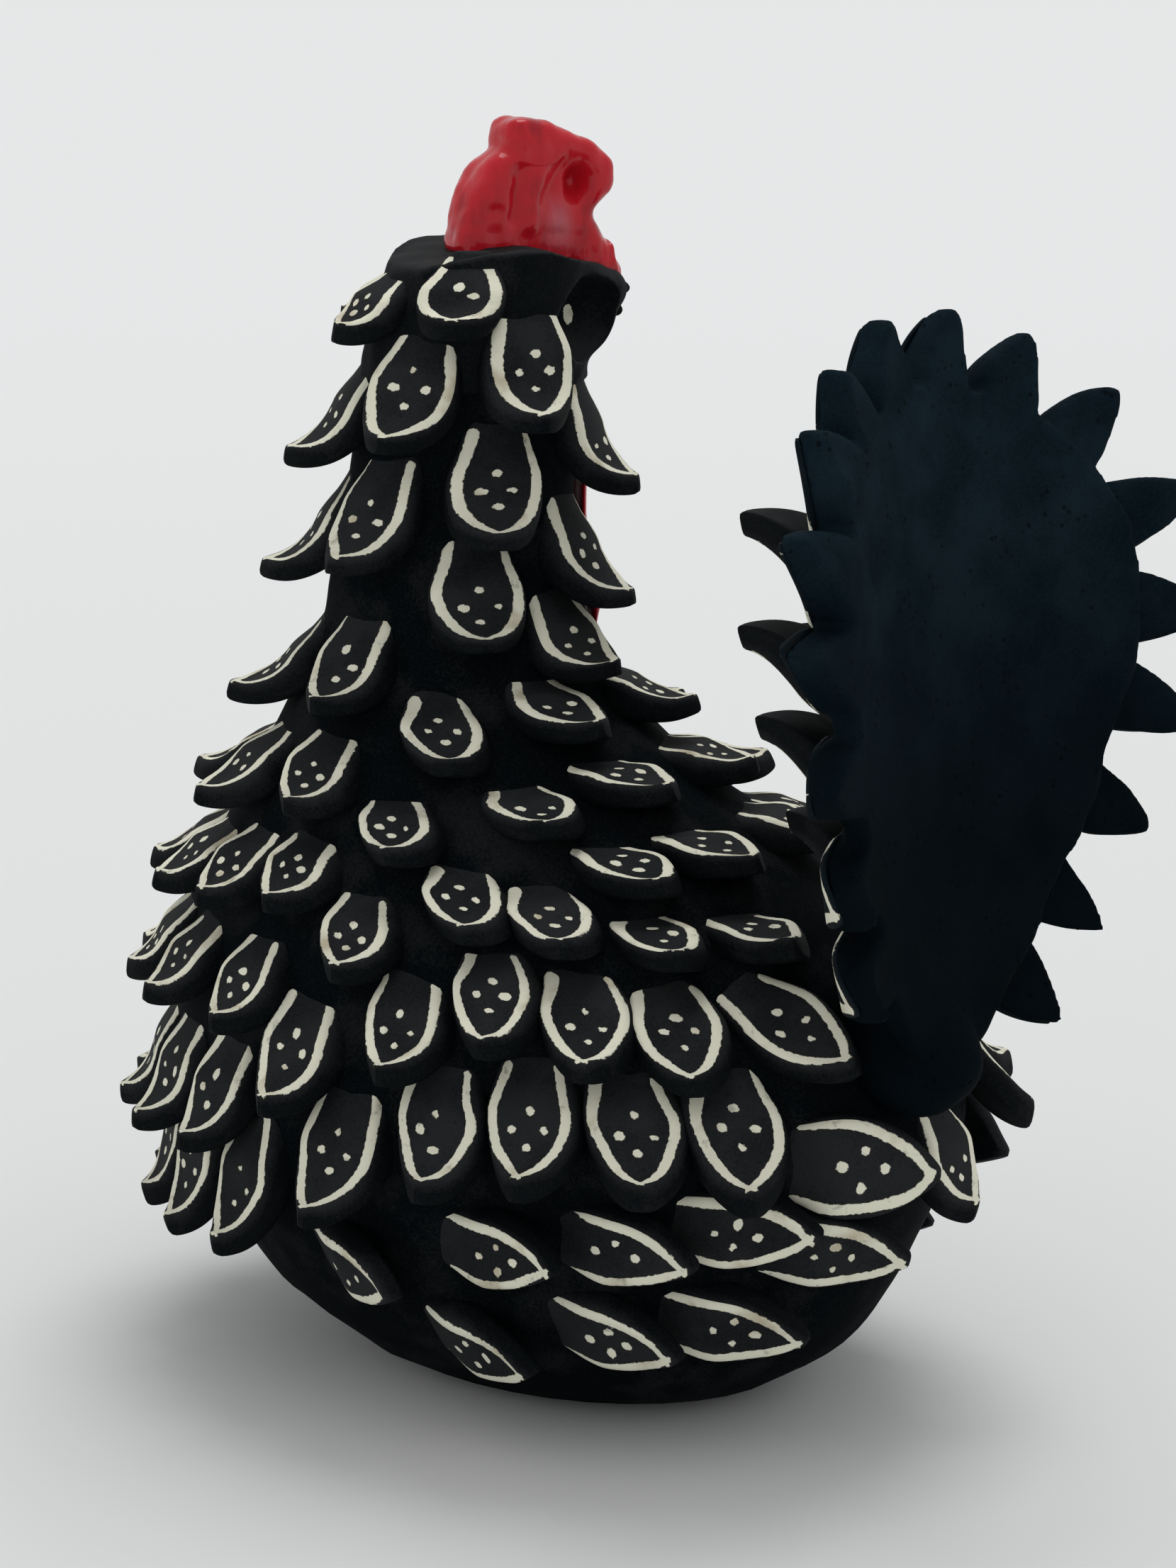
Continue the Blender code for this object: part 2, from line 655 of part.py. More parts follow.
def comb_outline():
    """Comb outline from the side: distance along the face, then above the crown."""
    return ((-0.0036, 0.0), (-0.0026, 0.0044), (-0.0008, 0.0082), (0.0026, 0.0104),
            (0.0046, 0.0112), (0.0042, 0.0128), (0.0058, 0.0134), (0.0086, 0.0122),
            (0.0118, 0.0126), (0.0146, 0.0112), (0.0166, 0.0088), (0.0166, 0.0058),
            (0.0148, 0.0036), (0.0146, 0.0012), (0.0172, -0.0040), (0.0020, 0.0))


def comb(collection, material):
    """Thick folded comb standing on the crown."""
    facing, axis = face_axis()
    curve = bpy.data.curves.new("comb", "CURVE")
    curve.dimensions = "2D"
    curve.fill_mode = "BOTH"
    curve.extrude = COMB_THICKNESS / 2 - COMB_BEVEL
    curve.bevel_depth = COMB_BEVEL
    curve.bevel_resolution = 1
    spline = curve.splines.new("POLY")
    outline = comb_outline()
    spline.points.add(len(outline) - 1)
    base = CROWN_HEIGHT + FIT_GAP + COMB_BEVEL
    for point, (along, up) in zip(spline.points, outline):
        point.co = (along, base + up, 0, 1)
    spline.use_cyclic_u = True
    shape = bpy.data.objects.new("comb_curve", curve)
    collection.objects.link(shape)
    bpy.context.view_layer.update()
    depsgraph = bpy.context.evaluated_depsgraph_get()
    mesh = bpy.data.meshes.new_from_object(shape.evaluated_get(depsgraph))
    bpy.data.objects.remove(shape, do_unlink=True)
    bm = bmesh.new()
    bm.from_mesh(mesh)
    bpy.data.meshes.remove(mesh)
    bmesh.ops.remove_doubles(bm, verts=bm.verts, dist=0.00005)
    sideways = Vector((0, 0, 1)).cross(facing)
    frame = Matrix((facing, Vector((0, 0, 1)), sideways)).transposed().to_4x4()
    frame.translation = axis
    bm.transform(frame)
    return mesh_object("comb", bm, collection, material)


# Tail

def tail_frame():
    """Directions across, up and to the rear of the tail scoop."""
    across = Vector((math.cos(TAIL_TURN), math.sin(TAIL_TURN), 0))
    rearward = Vector((-math.sin(TAIL_TURN), math.cos(TAIL_TURN), 0))
    upward = Vector((0, 0, math.cos(TAIL_LEAN))) - rearward * math.sin(TAIL_LEAN)
    normal = rearward * math.cos(TAIL_LEAN) + Vector((0, 0, math.sin(TAIL_LEAN)))
    rolled_across = across * math.cos(TAIL_ROLL) + upward * math.sin(TAIL_ROLL)
    rolled_up = upward * math.cos(TAIL_ROLL) - across * math.sin(TAIL_ROLL)
    return rolled_across, rolled_up, normal


TAIL_FRAME = tail_frame()


def tail_flat(psi, inset):
    """Flat place on the scoop: direction from its top, distance inside the rim."""
    sine, cosine = math.sin(psi), math.cos(psi)
    height = TAIL_HALF_HEIGHT if cosine > 0 else TAIL_STEM
    taper = TAIL_TAPER if cosine > 0 else TAIL_STEM_TAPER
    across = TAIL_HALF_WIDTH * sine * (1 + taper * cosine)
    upward = height * cosine
    radius = math.hypot(across, upward)
    share = (radius - inset) / radius
    return across * share, upward * share


def tail_point(across, upward, lift):
    """Point of the scoop's front face, lifted to the front of it."""
    def raw(side, up):
        sag = TAIL_SAG * (side / TAIL_HALF_WIDTH) ** 2
        return (Vector((0, TAIL_CENTRE_Y, TAIL_CENTRE_HEIGHT)) + TAIL_FRAME[0] * side
                + TAIL_FRAME[1] * up + TAIL_FRAME[2] * sag)

    point = raw(across, upward)
    tangent = raw(across + STEP, upward) - raw(across - STEP, upward)
    front = tangent.cross(TAIL_FRAME[1]).normalized()
    return point + front * (lift + TAIL_THICKNESS / 2)


def between_marks(marks, degrees):
    """Value at an angle from a table of angles and values, held at its ends."""
    if degrees <= marks[0][0]:
        return marks[0][1]
    for (low, value), (high, value_after) in zip(marks, marks[1:]):
        if degrees <= high:
            return value + (value_after - value) * (degrees - low) / (high - low)
    return marks[-1][1]


def petal_place(slot, along, across, lift):
    """Map a rim petal to the front of the scoop, swept back and leant to the top."""
    psi, root_inset = slot
    sweep = between_marks(PETAL_SWEEPS, math.degrees(psi))
    lean = math.radians(between_marks(PETAL_LEANS, math.degrees(psi)))
    side, up = tail_flat(psi, root_inset)
    before = Vector(tail_flat(psi - STEP_ROUND, 0.0))
    after = Vector(tail_flat(psi + STEP_ROUND, 0.0))
    round_rim = (after - before).normalized()
    outward = Vector((-round_rim.y, round_rim.x))
    pointing = outward * math.cos(lean) - round_rim * math.sin(lean)
    sideways = round_rim * math.cos(lean) + outward * math.sin(lean)
    side += pointing.x * along + sideways.x * across
    up += pointing.y * along + sideways.y * across
    past = max(along - root_inset, 0.0) / PETAL_REACH
    return tail_point(side, up, lift - sweep * past ** 2)


def tail_row_place(slot, along, across, lift):
    """Map a feather of the tail rows, pointing up and fanned to the side."""
    side, up, fan = slot
    side += along * math.sin(fan) + across * math.cos(fan)
    up += along * math.cos(fan) - across * math.sin(fan)
    return tail_point(side, up, lift)


def tail_plate(collection, material):
    """Scoop plate as a dished oval sheet with an even thickness."""
    bm = bmesh.new()
    steps, rounds = 32, (0.0, 0.35, 0.68, 1.0)
    centre = bm.verts.new(tail_point(0.0, 0.0, -TAIL_THICKNESS / 2))
    rings = []
    for share in rounds[1:]:
        ring = []
        for step in range(steps):
            across, upward = tail_flat(2 * math.pi * step / steps, 0.0)
            ring.append(bm.verts.new(tail_point(across * share, upward * share,
                                                -TAIL_THICKNESS / 2)))
        rings.append(ring)
    for step in range(steps):
        bm.faces.new((centre, rings[0][(step + 1) % steps], rings[0][step]))
    grid_faces(bm, rings, True)
    plate = mesh_object("tail_plate", bm, collection, material)
    solid = plate.modifiers.new("Thickness", "SOLIDIFY")
    solid.thickness = TAIL_THICKNESS
    solid.offset = 0.0
    return plate


def tail_root(plate, collection, cutters, material):
    """Lump that carries the scoop: seated on the body, with the plate let into it."""
    lump = sphere("tail_root", TAIL_ROOT_PLACE, TAIL_ROOT_SIZE, 0.0, collection, material)
    body = body_solid("body_cutter", 0.0, CROWN_HEIGHT, 24, None, FIT_GAP, cutters, material)
    boolean(lump, as_cutter(body))
    clear = [size + FIT_GAP for size in TAIL_ROOT_SIZE]
    room = sphere("root_cutter", TAIL_ROOT_PLACE, clear, 0.0, cutters, material)
    boolean(plate, as_cutter(room))


def tail_petals(collection, material):
    """Pointed petals round the rim, rooted on the front of the scoop."""
    for index in range(PETAL_COUNT):
        psi = PETAL_SPAN * (1 - 2 * index / (PETAL_COUNT - 1))
        slot = (psi, PETAL_LENGTH - PETAL_REACH)
        shape = (PETAL_LENGTH, PETAL_WIDTH, PETAL_THICKNESS, 0.0, [0.0])
        feather_row(f"tail_petal_{index + 1:02d}", [slot], petal_place, shape, False,
                    collection, material)


def tail_rows(collection, material):
    """Rows of upright feathers on the front of the scoop, their tips curled forward."""
    for name, level, count, spread in TAIL_ROWS:
        slots = []
        for index in range(count):
            share = index / (count - 1) - 0.5
            slots.append((share * spread, level, share * 2 * TAIL_FAN))
        shape = (TAIL_FEATHER_LENGTH, TAIL_FEATHER_WIDTH, TAIL_FEATHER_THICKNESS,
                 TAIL_ROOT_CURL, [TAIL_CURL] * count)
        feather_row(name, slots, tail_row_place, shape, False, collection, material)


def main():
    """Model the whole hen."""
    clear_scene()
    hen = new_collection("black_clay_hen")
    cutters = new_collection("cutters")
    clay = new_material("Black clay", CLAY, 0.72)
    pale = new_material("Worn black clay", CLAY_PALE, 0.68)
    red = new_material("Red glaze", RED, 0.25)
    body_shells(hen, cutters, clay)
    ring_rows(hen, pale)
    flank_rows(hen, pale)
    rump_feather(hen, pale)
    head(hen, cutters, clay)
    beak(hen, clay)
    wattles(hen, red)
    comb(hen, red)
    plate = tail_plate(hen, clay)
    tail_root(plate, hen, cutters, clay)
    tail_petals(hen, clay)
    tail_rows(hen, pale)


main()
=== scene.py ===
"""Dressing of the black clay hen: slip-painted feathers, glazed comb and studio.

Metres, +Z up. The breast faces -Y, the tail +Y and the hen's left side +X.
"""
import math
import random
from collections import namedtuple

import bmesh
import bpy
import numpy as np
from bpy.props import FloatProperty, FloatVectorProperty, IntProperty, PointerProperty
from bpy.types import Operator, Panel, PropertyGroup
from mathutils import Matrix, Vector


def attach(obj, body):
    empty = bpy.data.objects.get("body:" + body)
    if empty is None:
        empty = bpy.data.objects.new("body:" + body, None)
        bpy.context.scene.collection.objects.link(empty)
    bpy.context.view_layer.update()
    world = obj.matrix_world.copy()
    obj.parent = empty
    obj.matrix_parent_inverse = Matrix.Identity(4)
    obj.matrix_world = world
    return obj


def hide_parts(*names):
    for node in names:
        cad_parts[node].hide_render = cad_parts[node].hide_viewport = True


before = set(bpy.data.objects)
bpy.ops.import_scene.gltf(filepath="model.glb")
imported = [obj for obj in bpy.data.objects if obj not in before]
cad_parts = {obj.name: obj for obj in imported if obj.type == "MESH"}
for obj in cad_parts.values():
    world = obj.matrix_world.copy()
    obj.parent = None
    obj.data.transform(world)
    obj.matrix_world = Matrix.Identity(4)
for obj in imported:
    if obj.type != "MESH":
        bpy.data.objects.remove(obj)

bl_info = {
    "name": "Black clay hen",
    "version": (1, 0, 0),
    "blender": (4, 5, 0),
    "location": "3D View > Sidebar > Hen",
    "description": "Feathers, slip painting, glaze and studio for the packed hen",
    "category": "Object",
}

MM = 0.001
CLEAR = 0.0003
# Highest start of a wave, in radians
WAVE_START = 6.3

# The hen's hollow body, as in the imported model
FOOT_WIDTH, FOOT_LENGTH, FOOT_THICKNESS = 0.040, 0.054, 0.003
BELLY_HEIGHT, BELLY_WIDTH, BELLY_LENGTH, BELLY_CENTRE = 0.045, 0.093, 0.134, -0.001
SHOULDER_HEIGHT, SHOULDER_WIDTH = 0.084, 0.070
SHOULDER_LENGTH, SHOULDER_CENTRE = 0.096, -0.011
NECK_HEIGHT, NECK_WIDTH, NECK_LENGTH, NECK_CENTRE = 0.122, 0.037, 0.039, -0.021
CROWN_HEIGHT, CROWN_WIDTH, CROWN_CENTRE = 0.173, 0.029, -0.014
HEAD_HEIGHT = 0.021
NECK_TOP = CROWN_HEIGHT - HEAD_HEIGHT
# Steps round and up the body that its directions are measured over
TURN_STEP, RISE_STEP = 0.01, 0.0005
CLIMB_STEPS = 8
BODY_SIDES, BODY_RINGS = 96, 90
# How far the body runs up into the head, and the ring that is inset in its underside
HEAD_OVERLAP, FOOT_INSET = 0.004, 0.004

# Face, turned back over the hen's right wing, and its side that the photograph shows
FACE_TURN = math.radians(155)
FACING = np.array((math.cos(FACE_TURN), math.sin(FACE_TURN), 0.0))
NEAR_SIDE = np.array((FACING[1], -FACING[0], 0.0))
UPRIGHT = np.array((0.0, 0.0, 1.0))
HEAD_AXIS = np.array((0.0, CROWN_CENTRE, 0.0))
FACE_LEVEL = CROWN_HEIGHT - 0.0105
FACE_SIZE = (0.0150, 0.0135, 0.0105)
FACE_REACH = 0.0050

# Parts of the head: place ahead of its axis, to the near side and above the ground, and
# half sizes along, across and up
BROW = ((0.0108, 0.0, CROWN_HEIGHT - 0.0074), (0.0118, 0.0104, 0.0058))
NEAR_HOLLOW = ((0.0112, 0.0105, FACE_LEVEL - 0.0004), (0.0090, 0.0068, 0.0066))
FAR_HOLLOW = ((0.0120, -0.0135, FACE_LEVEL - 0.0016), (0.0060, 0.0050, 0.0052))
EYE = ((0.0113, 0.0038, FACE_LEVEL - 0.0003), (0.0008, 0.0018, 0.0016))
# Crown: sides of its cylinder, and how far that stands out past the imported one
CROWN_SIDES, CROWN_SKIN = 64, 0.0008
# The crown's back rim: how far it drops, and where that starts and ends behind the axis
RIM_DROP, RIM_START, RIM_RUN = 0.0030, 0.0070, 0.0075
# Flat cut over the crown: its slope, the cutter's edge and the place that it cuts at
CUT_SLOPE, CUTTER = math.radians(15), 0.040
CUT_PLACE = (0.0010, 0.0, CROWN_HEIGHT + 0.0004)

# Halves of the beak: node, height, length, width and turn; the lower half's broad end
# is outside
BEAK_HALVES = (("beak_upper", FACE_LEVEL + 0.0029, 0.0032, 0.0074, 0.0),
               ("beak_lower", FACE_LEVEL - 0.0003, 0.0014, 0.0056, math.pi))
BEAK_POINT, BEAK_FLATNESS, BEAK_ROUNDING = 0.26, 0.46, 0.0009

# Wattles: thickness, width and length, the height of their tops, how far each hangs to
# its side, and how much broader its foot is than its middle
WATTLE_SIZE = (0.0040, 0.0088, 0.0380)
WATTLE_TOP = CROWN_HEIGHT - 0.0245
WATTLE_SPREAD, WATTLE_TAPER = 0.0052, 0.22

# Comb, in places ahead of the head's axis, to the near side and above the crown, and
# moves the same three ways. The outline has places ahead and above only.
COMB_THICKNESS, COMB_EDGE = 0.0095, 0.0022
COMB_SWELL = COMB_EDGE * 0.92
COMB_OUTLINE = (
    (-0.0048, -0.0034), (-0.0042, 0.0002), (-0.0028, 0.0046), (-0.0008, 0.0082),
    (0.0032, 0.0106), (0.0054, 0.0112), (0.0032, 0.0130), (0.0034, 0.0146), (0.0080, 0.0136),
    (0.0120, 0.0122), (0.0154, 0.0106), (0.0180, 0.0086), (0.0182, 0.0060), (0.0146, 0.0034),
    (0.0143, 0.0006), (0.0186, -0.0056), (0.0200, -0.0078), (0.0062, -0.0050))
# Thumb pushes: place, reach along X, Y and Z, move
COMB_FOLD = ((0.0132, 0.0050, 0.0090), (0.0025, 0.0024, 0.0034), (0.0, -0.0042, 0.0))
COMB_NOTCHES = (((0.0066, 0.0042, 0.0142), (0.0046, 0.0036, 0.0022), (0.0, 0.0, -0.0022)),
                ((0.0040, -0.0020, 0.0146), (0.0020, 0.0036, 0.0020), (-0.0012, 0.0, 0.0)))
# Creases: start, end, reach, move
COMB_CREASES = (
    ((0.0016, 0.0050, 0.0040), (0.0034, 0.0045, 0.0112), 0.0019, (0.0, -0.0009, 0.0)),
    ((0.0044, 0.0050, 0.0030), (0.0056, 0.0045, 0.0100), 0.0017, (0.0, 0.0008, 0.0)),
    ((0.0104, 0.0045, 0.0120), (0.0076, 0.0050, 0.0066), 0.0021, (0.0, -0.0012, 0.0)),
    ((0.0128, -0.0050, 0.0098), (0.0108, -0.0045, 0.0140), 0.0016, (0.0, 0.0014, 0.0)),
)
# Ragged base: where it ends above the crown, the height it fades over, and its depth
RAGGED_END, RAGGED_FADE, RAGGED_DEPTH = 0.0012, 0.003, 0.0007
# Painted highlight on the comb, laid as a pale patch of milky glaze colour: place, reach along X,
# Y and Z
COMB_HIGHLIGHT = ((0.0094, 0.0050, 0.0030), (0.0022, 0.0022, 0.0034))

# Feather rows: name, height it keeps to, length, width, mirrored or not, feathers as
# (angle in degrees, tip above that height in mm, and a sweep in degrees where it has one)
NECK_ROWS = (
    ("neck_feather_row_1", CROWN_HEIGHT, 0.0132, 0.0114, False,
     ((-128, -14), (-80, -14.5), (-30, -14.6), (25, -11.8))),
    ("neck_feather_row_2", CROWN_HEIGHT, 0.0195, 0.0124, False,
     ((-139, -33), (-92, -34), (-44, -34), (8, -28), (62, -24), (109, -36))),
    ("neck_feather_row_3", NECK_HEIGHT, 0.0200, 0.0124, False,
     ((-147, 1), (-100, -1.5), (-51, -1.5), (-3, 3.5), (51, 8.5), (99, -4))),
    ("neck_feather_row_4", NECK_HEIGHT, 0.0190, 0.0124, False,
     ((-152, -19), (-105, -22.5), (-54, -23), (-7, -20.5), (44, -9), (86, -17))),
    ("neck_feather_row_5", SHOULDER_HEIGHT, 0.0170, 0.0125, True,
     ((-72, -0.5), (-42, 1), (-12, 3.5), (26, 10.5), (66, 13.6))),
)
BODY_ROWS = (
    ("body_feather_row_1", SHOULDER_HEIGHT, 0.0152, 0.0122, True,
     ((-90, -13), (-68, -13), (-49, -12.5), (-31, -11), (-14, -9), (9, -1), (41, 3), (70, 6))),
    ("body_feather_row_2", SHOULDER_HEIGHT, 0.0160, 0.0116, True,
     ((-90, -27), (-74, -27), (-58, -27), (-41, -26.5), (-22, -25.5), (-1, -16), (19, -9.5),
      (33, -11), (52, -4.5), (73, -3))),
    ("body_feather_row_3", BELLY_HEIGHT, 0.0192, 0.0120, True,
     ((-90, -6.5), (-74, -6.5), (-58, -6), (-43, -5.5), (-28, -4.8), (-11, 5.5), (7, 11.3),
      (21, 16), (33.5, 14), (46.5, 12.5), (60, 13, 25))),
    ("body_feather_row_4", BELLY_HEIGHT, 0.0205, 0.0128, True,
     ((-90, -18.5), (-71, -18.5), (-54, -18.3), (-39, -18.2), (-23, -16.3), (-4, -8), (11, -1.5),
      (24, 0.5), (37, 0.5), (50.5, 0.5), (61, 0, 82))),
)
RIGHT_SWEEP_SHARE = 0.4
SLOPE_SHARE = 0.75
SWEPT_CURL = math.radians(46)
# Where the two arms of the painted outline start: least and most share of half the width
PLAIN_ARMS, SWEPT_ARMS = (0.38, 0.78), (0.72, 0.94)

# Flank rows: name, height, length, curl and sweep in degrees, feathers as
# (angle in degrees, root above that height in mm)
FLANK_ROWS = (
    ("flank_feather_row_1", SHOULDER_HEIGHT, 0.0160, 82, 0, ((49, -4), (68, -4.6))),
    ("flank_feather_row_2", BELLY_HEIGHT, 0.0215, 44, 95,
     ((-12, -19.5), (11, -12.5), (28, -9.5), (43, -6.5), (58, -10.5))),
    ("flank_feather_row_3", BELLY_HEIGHT, 0.0215, 44, 95, ((5, -29), (27, -24), (44, -22.5))),
)
FLANK_WIDTH = 0.0124
RUMP_ROOT = BELLY_HEIGHT + 0.0040
RUMP_ANGLE, RUMP_LENGTH = math.radians(90), 0.0150

# Tail scoop and its feathers
TAIL_CENTRE = (0.0, 0.0650, 0.1150)
TAIL_HALF_WIDTH, TAIL_HALF_HEIGHT, TAIL_STEM = 0.0336, 0.0421, 0.0560
TAIL_TAPER, TAIL_STEM_TAPER, TAIL_SAG, TAIL_THICKNESS = 0.34, 0.41, 0.0092, 0.0038
TAIL_TURN, TAIL_LEAN, TAIL_ROLL = math.radians(-6), math.radians(7), math.radians(8)
TAIL_ROOT_PLACE = (0.0070, 0.0655, 0.0620)
TAIL_ROOT_SIZE = (0.0075, 0.0110, 0.0095)
SCOOP_SIDES, SCOOP_RINGS = 72, 14
PETAL_COUNT, PETAL_SPAN = 17, math.radians(141)
PETAL_SIZE = (0.0170, 0.0112, 0.0028)
PETAL_REACH = 0.0100
# A petal's foot in the scoop, as shares of the petal's length, width and thickness, and
# the direction and run over which the feet come to reach the scoop's rear
PETAL_FOOT = (1.03, 1.04, 0.95)
FOOT_START, FOOT_RUN = -1.0, 0.7
# Petals round the rim: angle from the top in degrees, sweep of the tip past the
# rim; then angle and lean out of the outward direction in degrees
PETAL_SWEEPS = ((0, 0.0030), (45, 0.0), (65, -0.0030), (92, -0.0025), (125, 0.0050))
PETAL_LEANS = ((-141, 16), (-125, 16), (-80, 12), (-50, 0), (35, 0), (55, 22), (90, 24), (115, 4))
# Rows on the tail's front: name, root above the scoop's middle, feathers, width of the row
TAIL_ROWS = (
    ("tail_feather_row_1", 0.0085, 3, 0.0310),
    ("tail_feather_row_2", -0.0070, 4, 0.0338),
    ("tail_feather_row_3", -0.0195, 3, 0.0254),
    ("tail_feather_row_4", -0.0332, 2, 0.0108),
)
TAIL_FEATHER_SIZE = (0.0255, 0.0110, 0.0036)
TAIL_FAN = math.radians(14)
TAIL_CURLS = (math.radians(22), math.radians(100))

# Flat leaf that every feather is copied from
LEAF_LENGTH, LEAF_WIDTH, LEAF_THICKNESS, LEAF_HEEL = 0.0180, 0.0120, 0.0026, 0.0055
LEAF_COLUMNS, LEAF_LINES = 9, 21
LEAF_SWELL, HEEL_TAPER = 1.03, 0.45
# Share of the outline formula that a leaf takes, so that its tip keeps a width
LEAF_REACH = 0.985
SPINE_PARTS, CURL_POWER = 16, 1.8
LINE_STEPS = 5
# Distances in mm outside every brush stroke
FAR_AWAY, UNPAINTED = 99.0, 6.0
MISSED_DOT = 0.04

# How a leaf is set on: clay pressed in at its root, share of the depth under it, length
# of its heel, lowest lift, and whether it is a full petal
LeafForm = namedtuple("LeafForm", "sink bulk heel low full",
                      defaults=(0.0009, 1.0, 1.0, -0.02, False))
PETAL_FORM = LeafForm(sink=0.0003, bulk=0.25, full=True)
TAIL_FORM = LeafForm(bulk=1.2, heel=0.5, low=-0.0028)

# Colours that aren't among the settings
SCOOP_WORN = (0.0092, 0.0190, 0.0265, 1.0)
# Painted shade: darker clay mixed over the lower part of the tail scoop
SHADE_CLAY = (0.0012, 0.0022, 0.0032, 1.0)
PIT_CLAY = (0.003, 0.004, 0.005, 1)
# The darker glaze colour is thicker glaze; the paler one is a painted highlight, a milky pink
# laid on the comb
DEEP_GLAZE, HIGHLIGHT_GLAZE = (0.16, 0.004, 0.010, 1.0), (0.44, 0.17, 0.20, 1.0)
NODE_STEP, NODE_ROWS = 260, 4

# Studio: the floor, where its colour starts and ends to turn into the backdrop, and the
# soft lamp's spread and its lean away from the camera and to the right
FLOOR_RADIUS, FLOOR_SIDES = 14.0, 96
BACKDROP_RUN = (0.15, 1.6)
LAMP_SPREAD, LAMP_LEAN_AWAY, LAMP_LEAN_RIGHT = math.radians(36), 0.34, 0.11

# Photograph's view; the focal length and the photograph's height are in its pixels
CAMERA_TURN, CAMERA_RISE, CAMERA_DISTANCE = math.radians(125), math.radians(13), 0.600
CAMERA_AIM = Vector((0.0, 0.004, 0.092))
SENSOR_HEIGHT, PHOTO_FOCUS, PHOTO_HEIGHT = 36.0, 5550, 2212


# Sizes and colours

class HenFeatherLook(PropertyGroup):
    """How the applied feathers are shaped and painted."""
    thickness: FloatProperty(name="Thickness", description="Thickness of a clay leaf",
                             default=LEAF_THICKNESS, unit="LENGTH", precision=4)
    tip_thickness: FloatProperty(name="Tip thickness", description="Clay left at a leaf's tip",
                                 default=0.0029, unit="LENGTH", precision=4)
    root_thickness: FloatProperty(name="Root thickness",
                                  description="Clay under the root of a leaf",
                                  default=0.0068, unit="LENGTH", precision=4)
    root_curl: FloatProperty(name="Root curl", description="How far a root leans off the body",
                             default=math.radians(6), subtype="ANGLE")
    tip_curl: FloatProperty(name="Tip curl", description="How far a tip turns off the body",
                            default=math.radians(100), subtype="ANGLE")
    cup: FloatProperty(name="Cup", description="How far the side edges are turned up",
                       default=0.0011, unit="LENGTH", precision=4)
    unevenness: FloatProperty(name="Unevenness", description="Hand-made difference in size",
                              default=0.035, min=0.0, max=0.2)
    line_width: FloatProperty(name="Line width", description="Width of the painted outline",
                              default=0.0014, unit="LENGTH", precision=4)
    dot_width: FloatProperty(name="Dot width", description="Width of a painted dot",
                             default=0.0015, unit="LENGTH", precision=4)
    seed: IntProperty(name="Seed", description="Start of the hand-made differences", default=7)


class HenClayLook(PropertyGroup):
    """Colours of the fired clay, the slip and the glaze."""
    clay: FloatVectorProperty(name="Clay", description="Fired black clay", size=4,
                              subtype="COLOR", default=(0.0018, 0.0034, 0.0044, 1.0))
    # Worn clay: the colour of worn patches, and on the painted pieces also painted light that
    # makes their upper faces lighter
    worn_and_lit_clay: FloatVectorProperty(name="Worn clay", description="Rubbed upper faces", size=4,
                                   subtype="COLOR", default=(0.0200, 0.0212, 0.0225, 1.0))
    scoop_clay: FloatVectorProperty(name="Scoop clay", description="Clay inside the tail",
                                    size=4, subtype="COLOR",
                                    default=(0.0022, 0.0070, 0.0108, 1.0))
    slip: FloatVectorProperty(name="Slip", description="Pale slip of the painting", size=4,
                              subtype="COLOR", default=(0.78, 0.77, 0.63, 1.0))
    slip_stain: FloatVectorProperty(name="Slip stain", description="Toasted slip", size=4,
                                    subtype="COLOR", default=(0.42, 0.36, 0.24, 1.0))
    glaze: FloatVectorProperty(name="Glaze", description="Red glaze", size=4,
                               subtype="COLOR", default=(0.500, 0.008, 0.018, 1.0))
    glaze_thin: FloatVectorProperty(name="Thin glaze", description="Glaze that ran thin",
                                    size=4, subtype="COLOR",
                                    default=(0.56, 0.036, 0.052, 1.0))


class HenStudioLook(PropertyGroup):
    """Floor and light of the studio."""
    floor: FloatVectorProperty(name="Floor", description="Colour of the floor", size=4,
                               subtype="COLOR", default=(0.735, 0.748, 0.745, 1.0))
    backdrop: FloatVectorProperty(name="Backdrop", description="Colour far behind", size=4,
                                  subtype="COLOR", default=(0.775, 0.785, 0.79, 1.0))
    fill: FloatProperty(name="Fill", description="Strength of the light from all round",
                        default=0.70, min=0.0)
    key: FloatProperty(name="Key", description="Strength of the soft lamp from above",
                       default=1.08, min=0.0)


# Body surface

def between(low, high, share):
    """Value at a share of the way from low to high."""
    return low + (high - low) * share


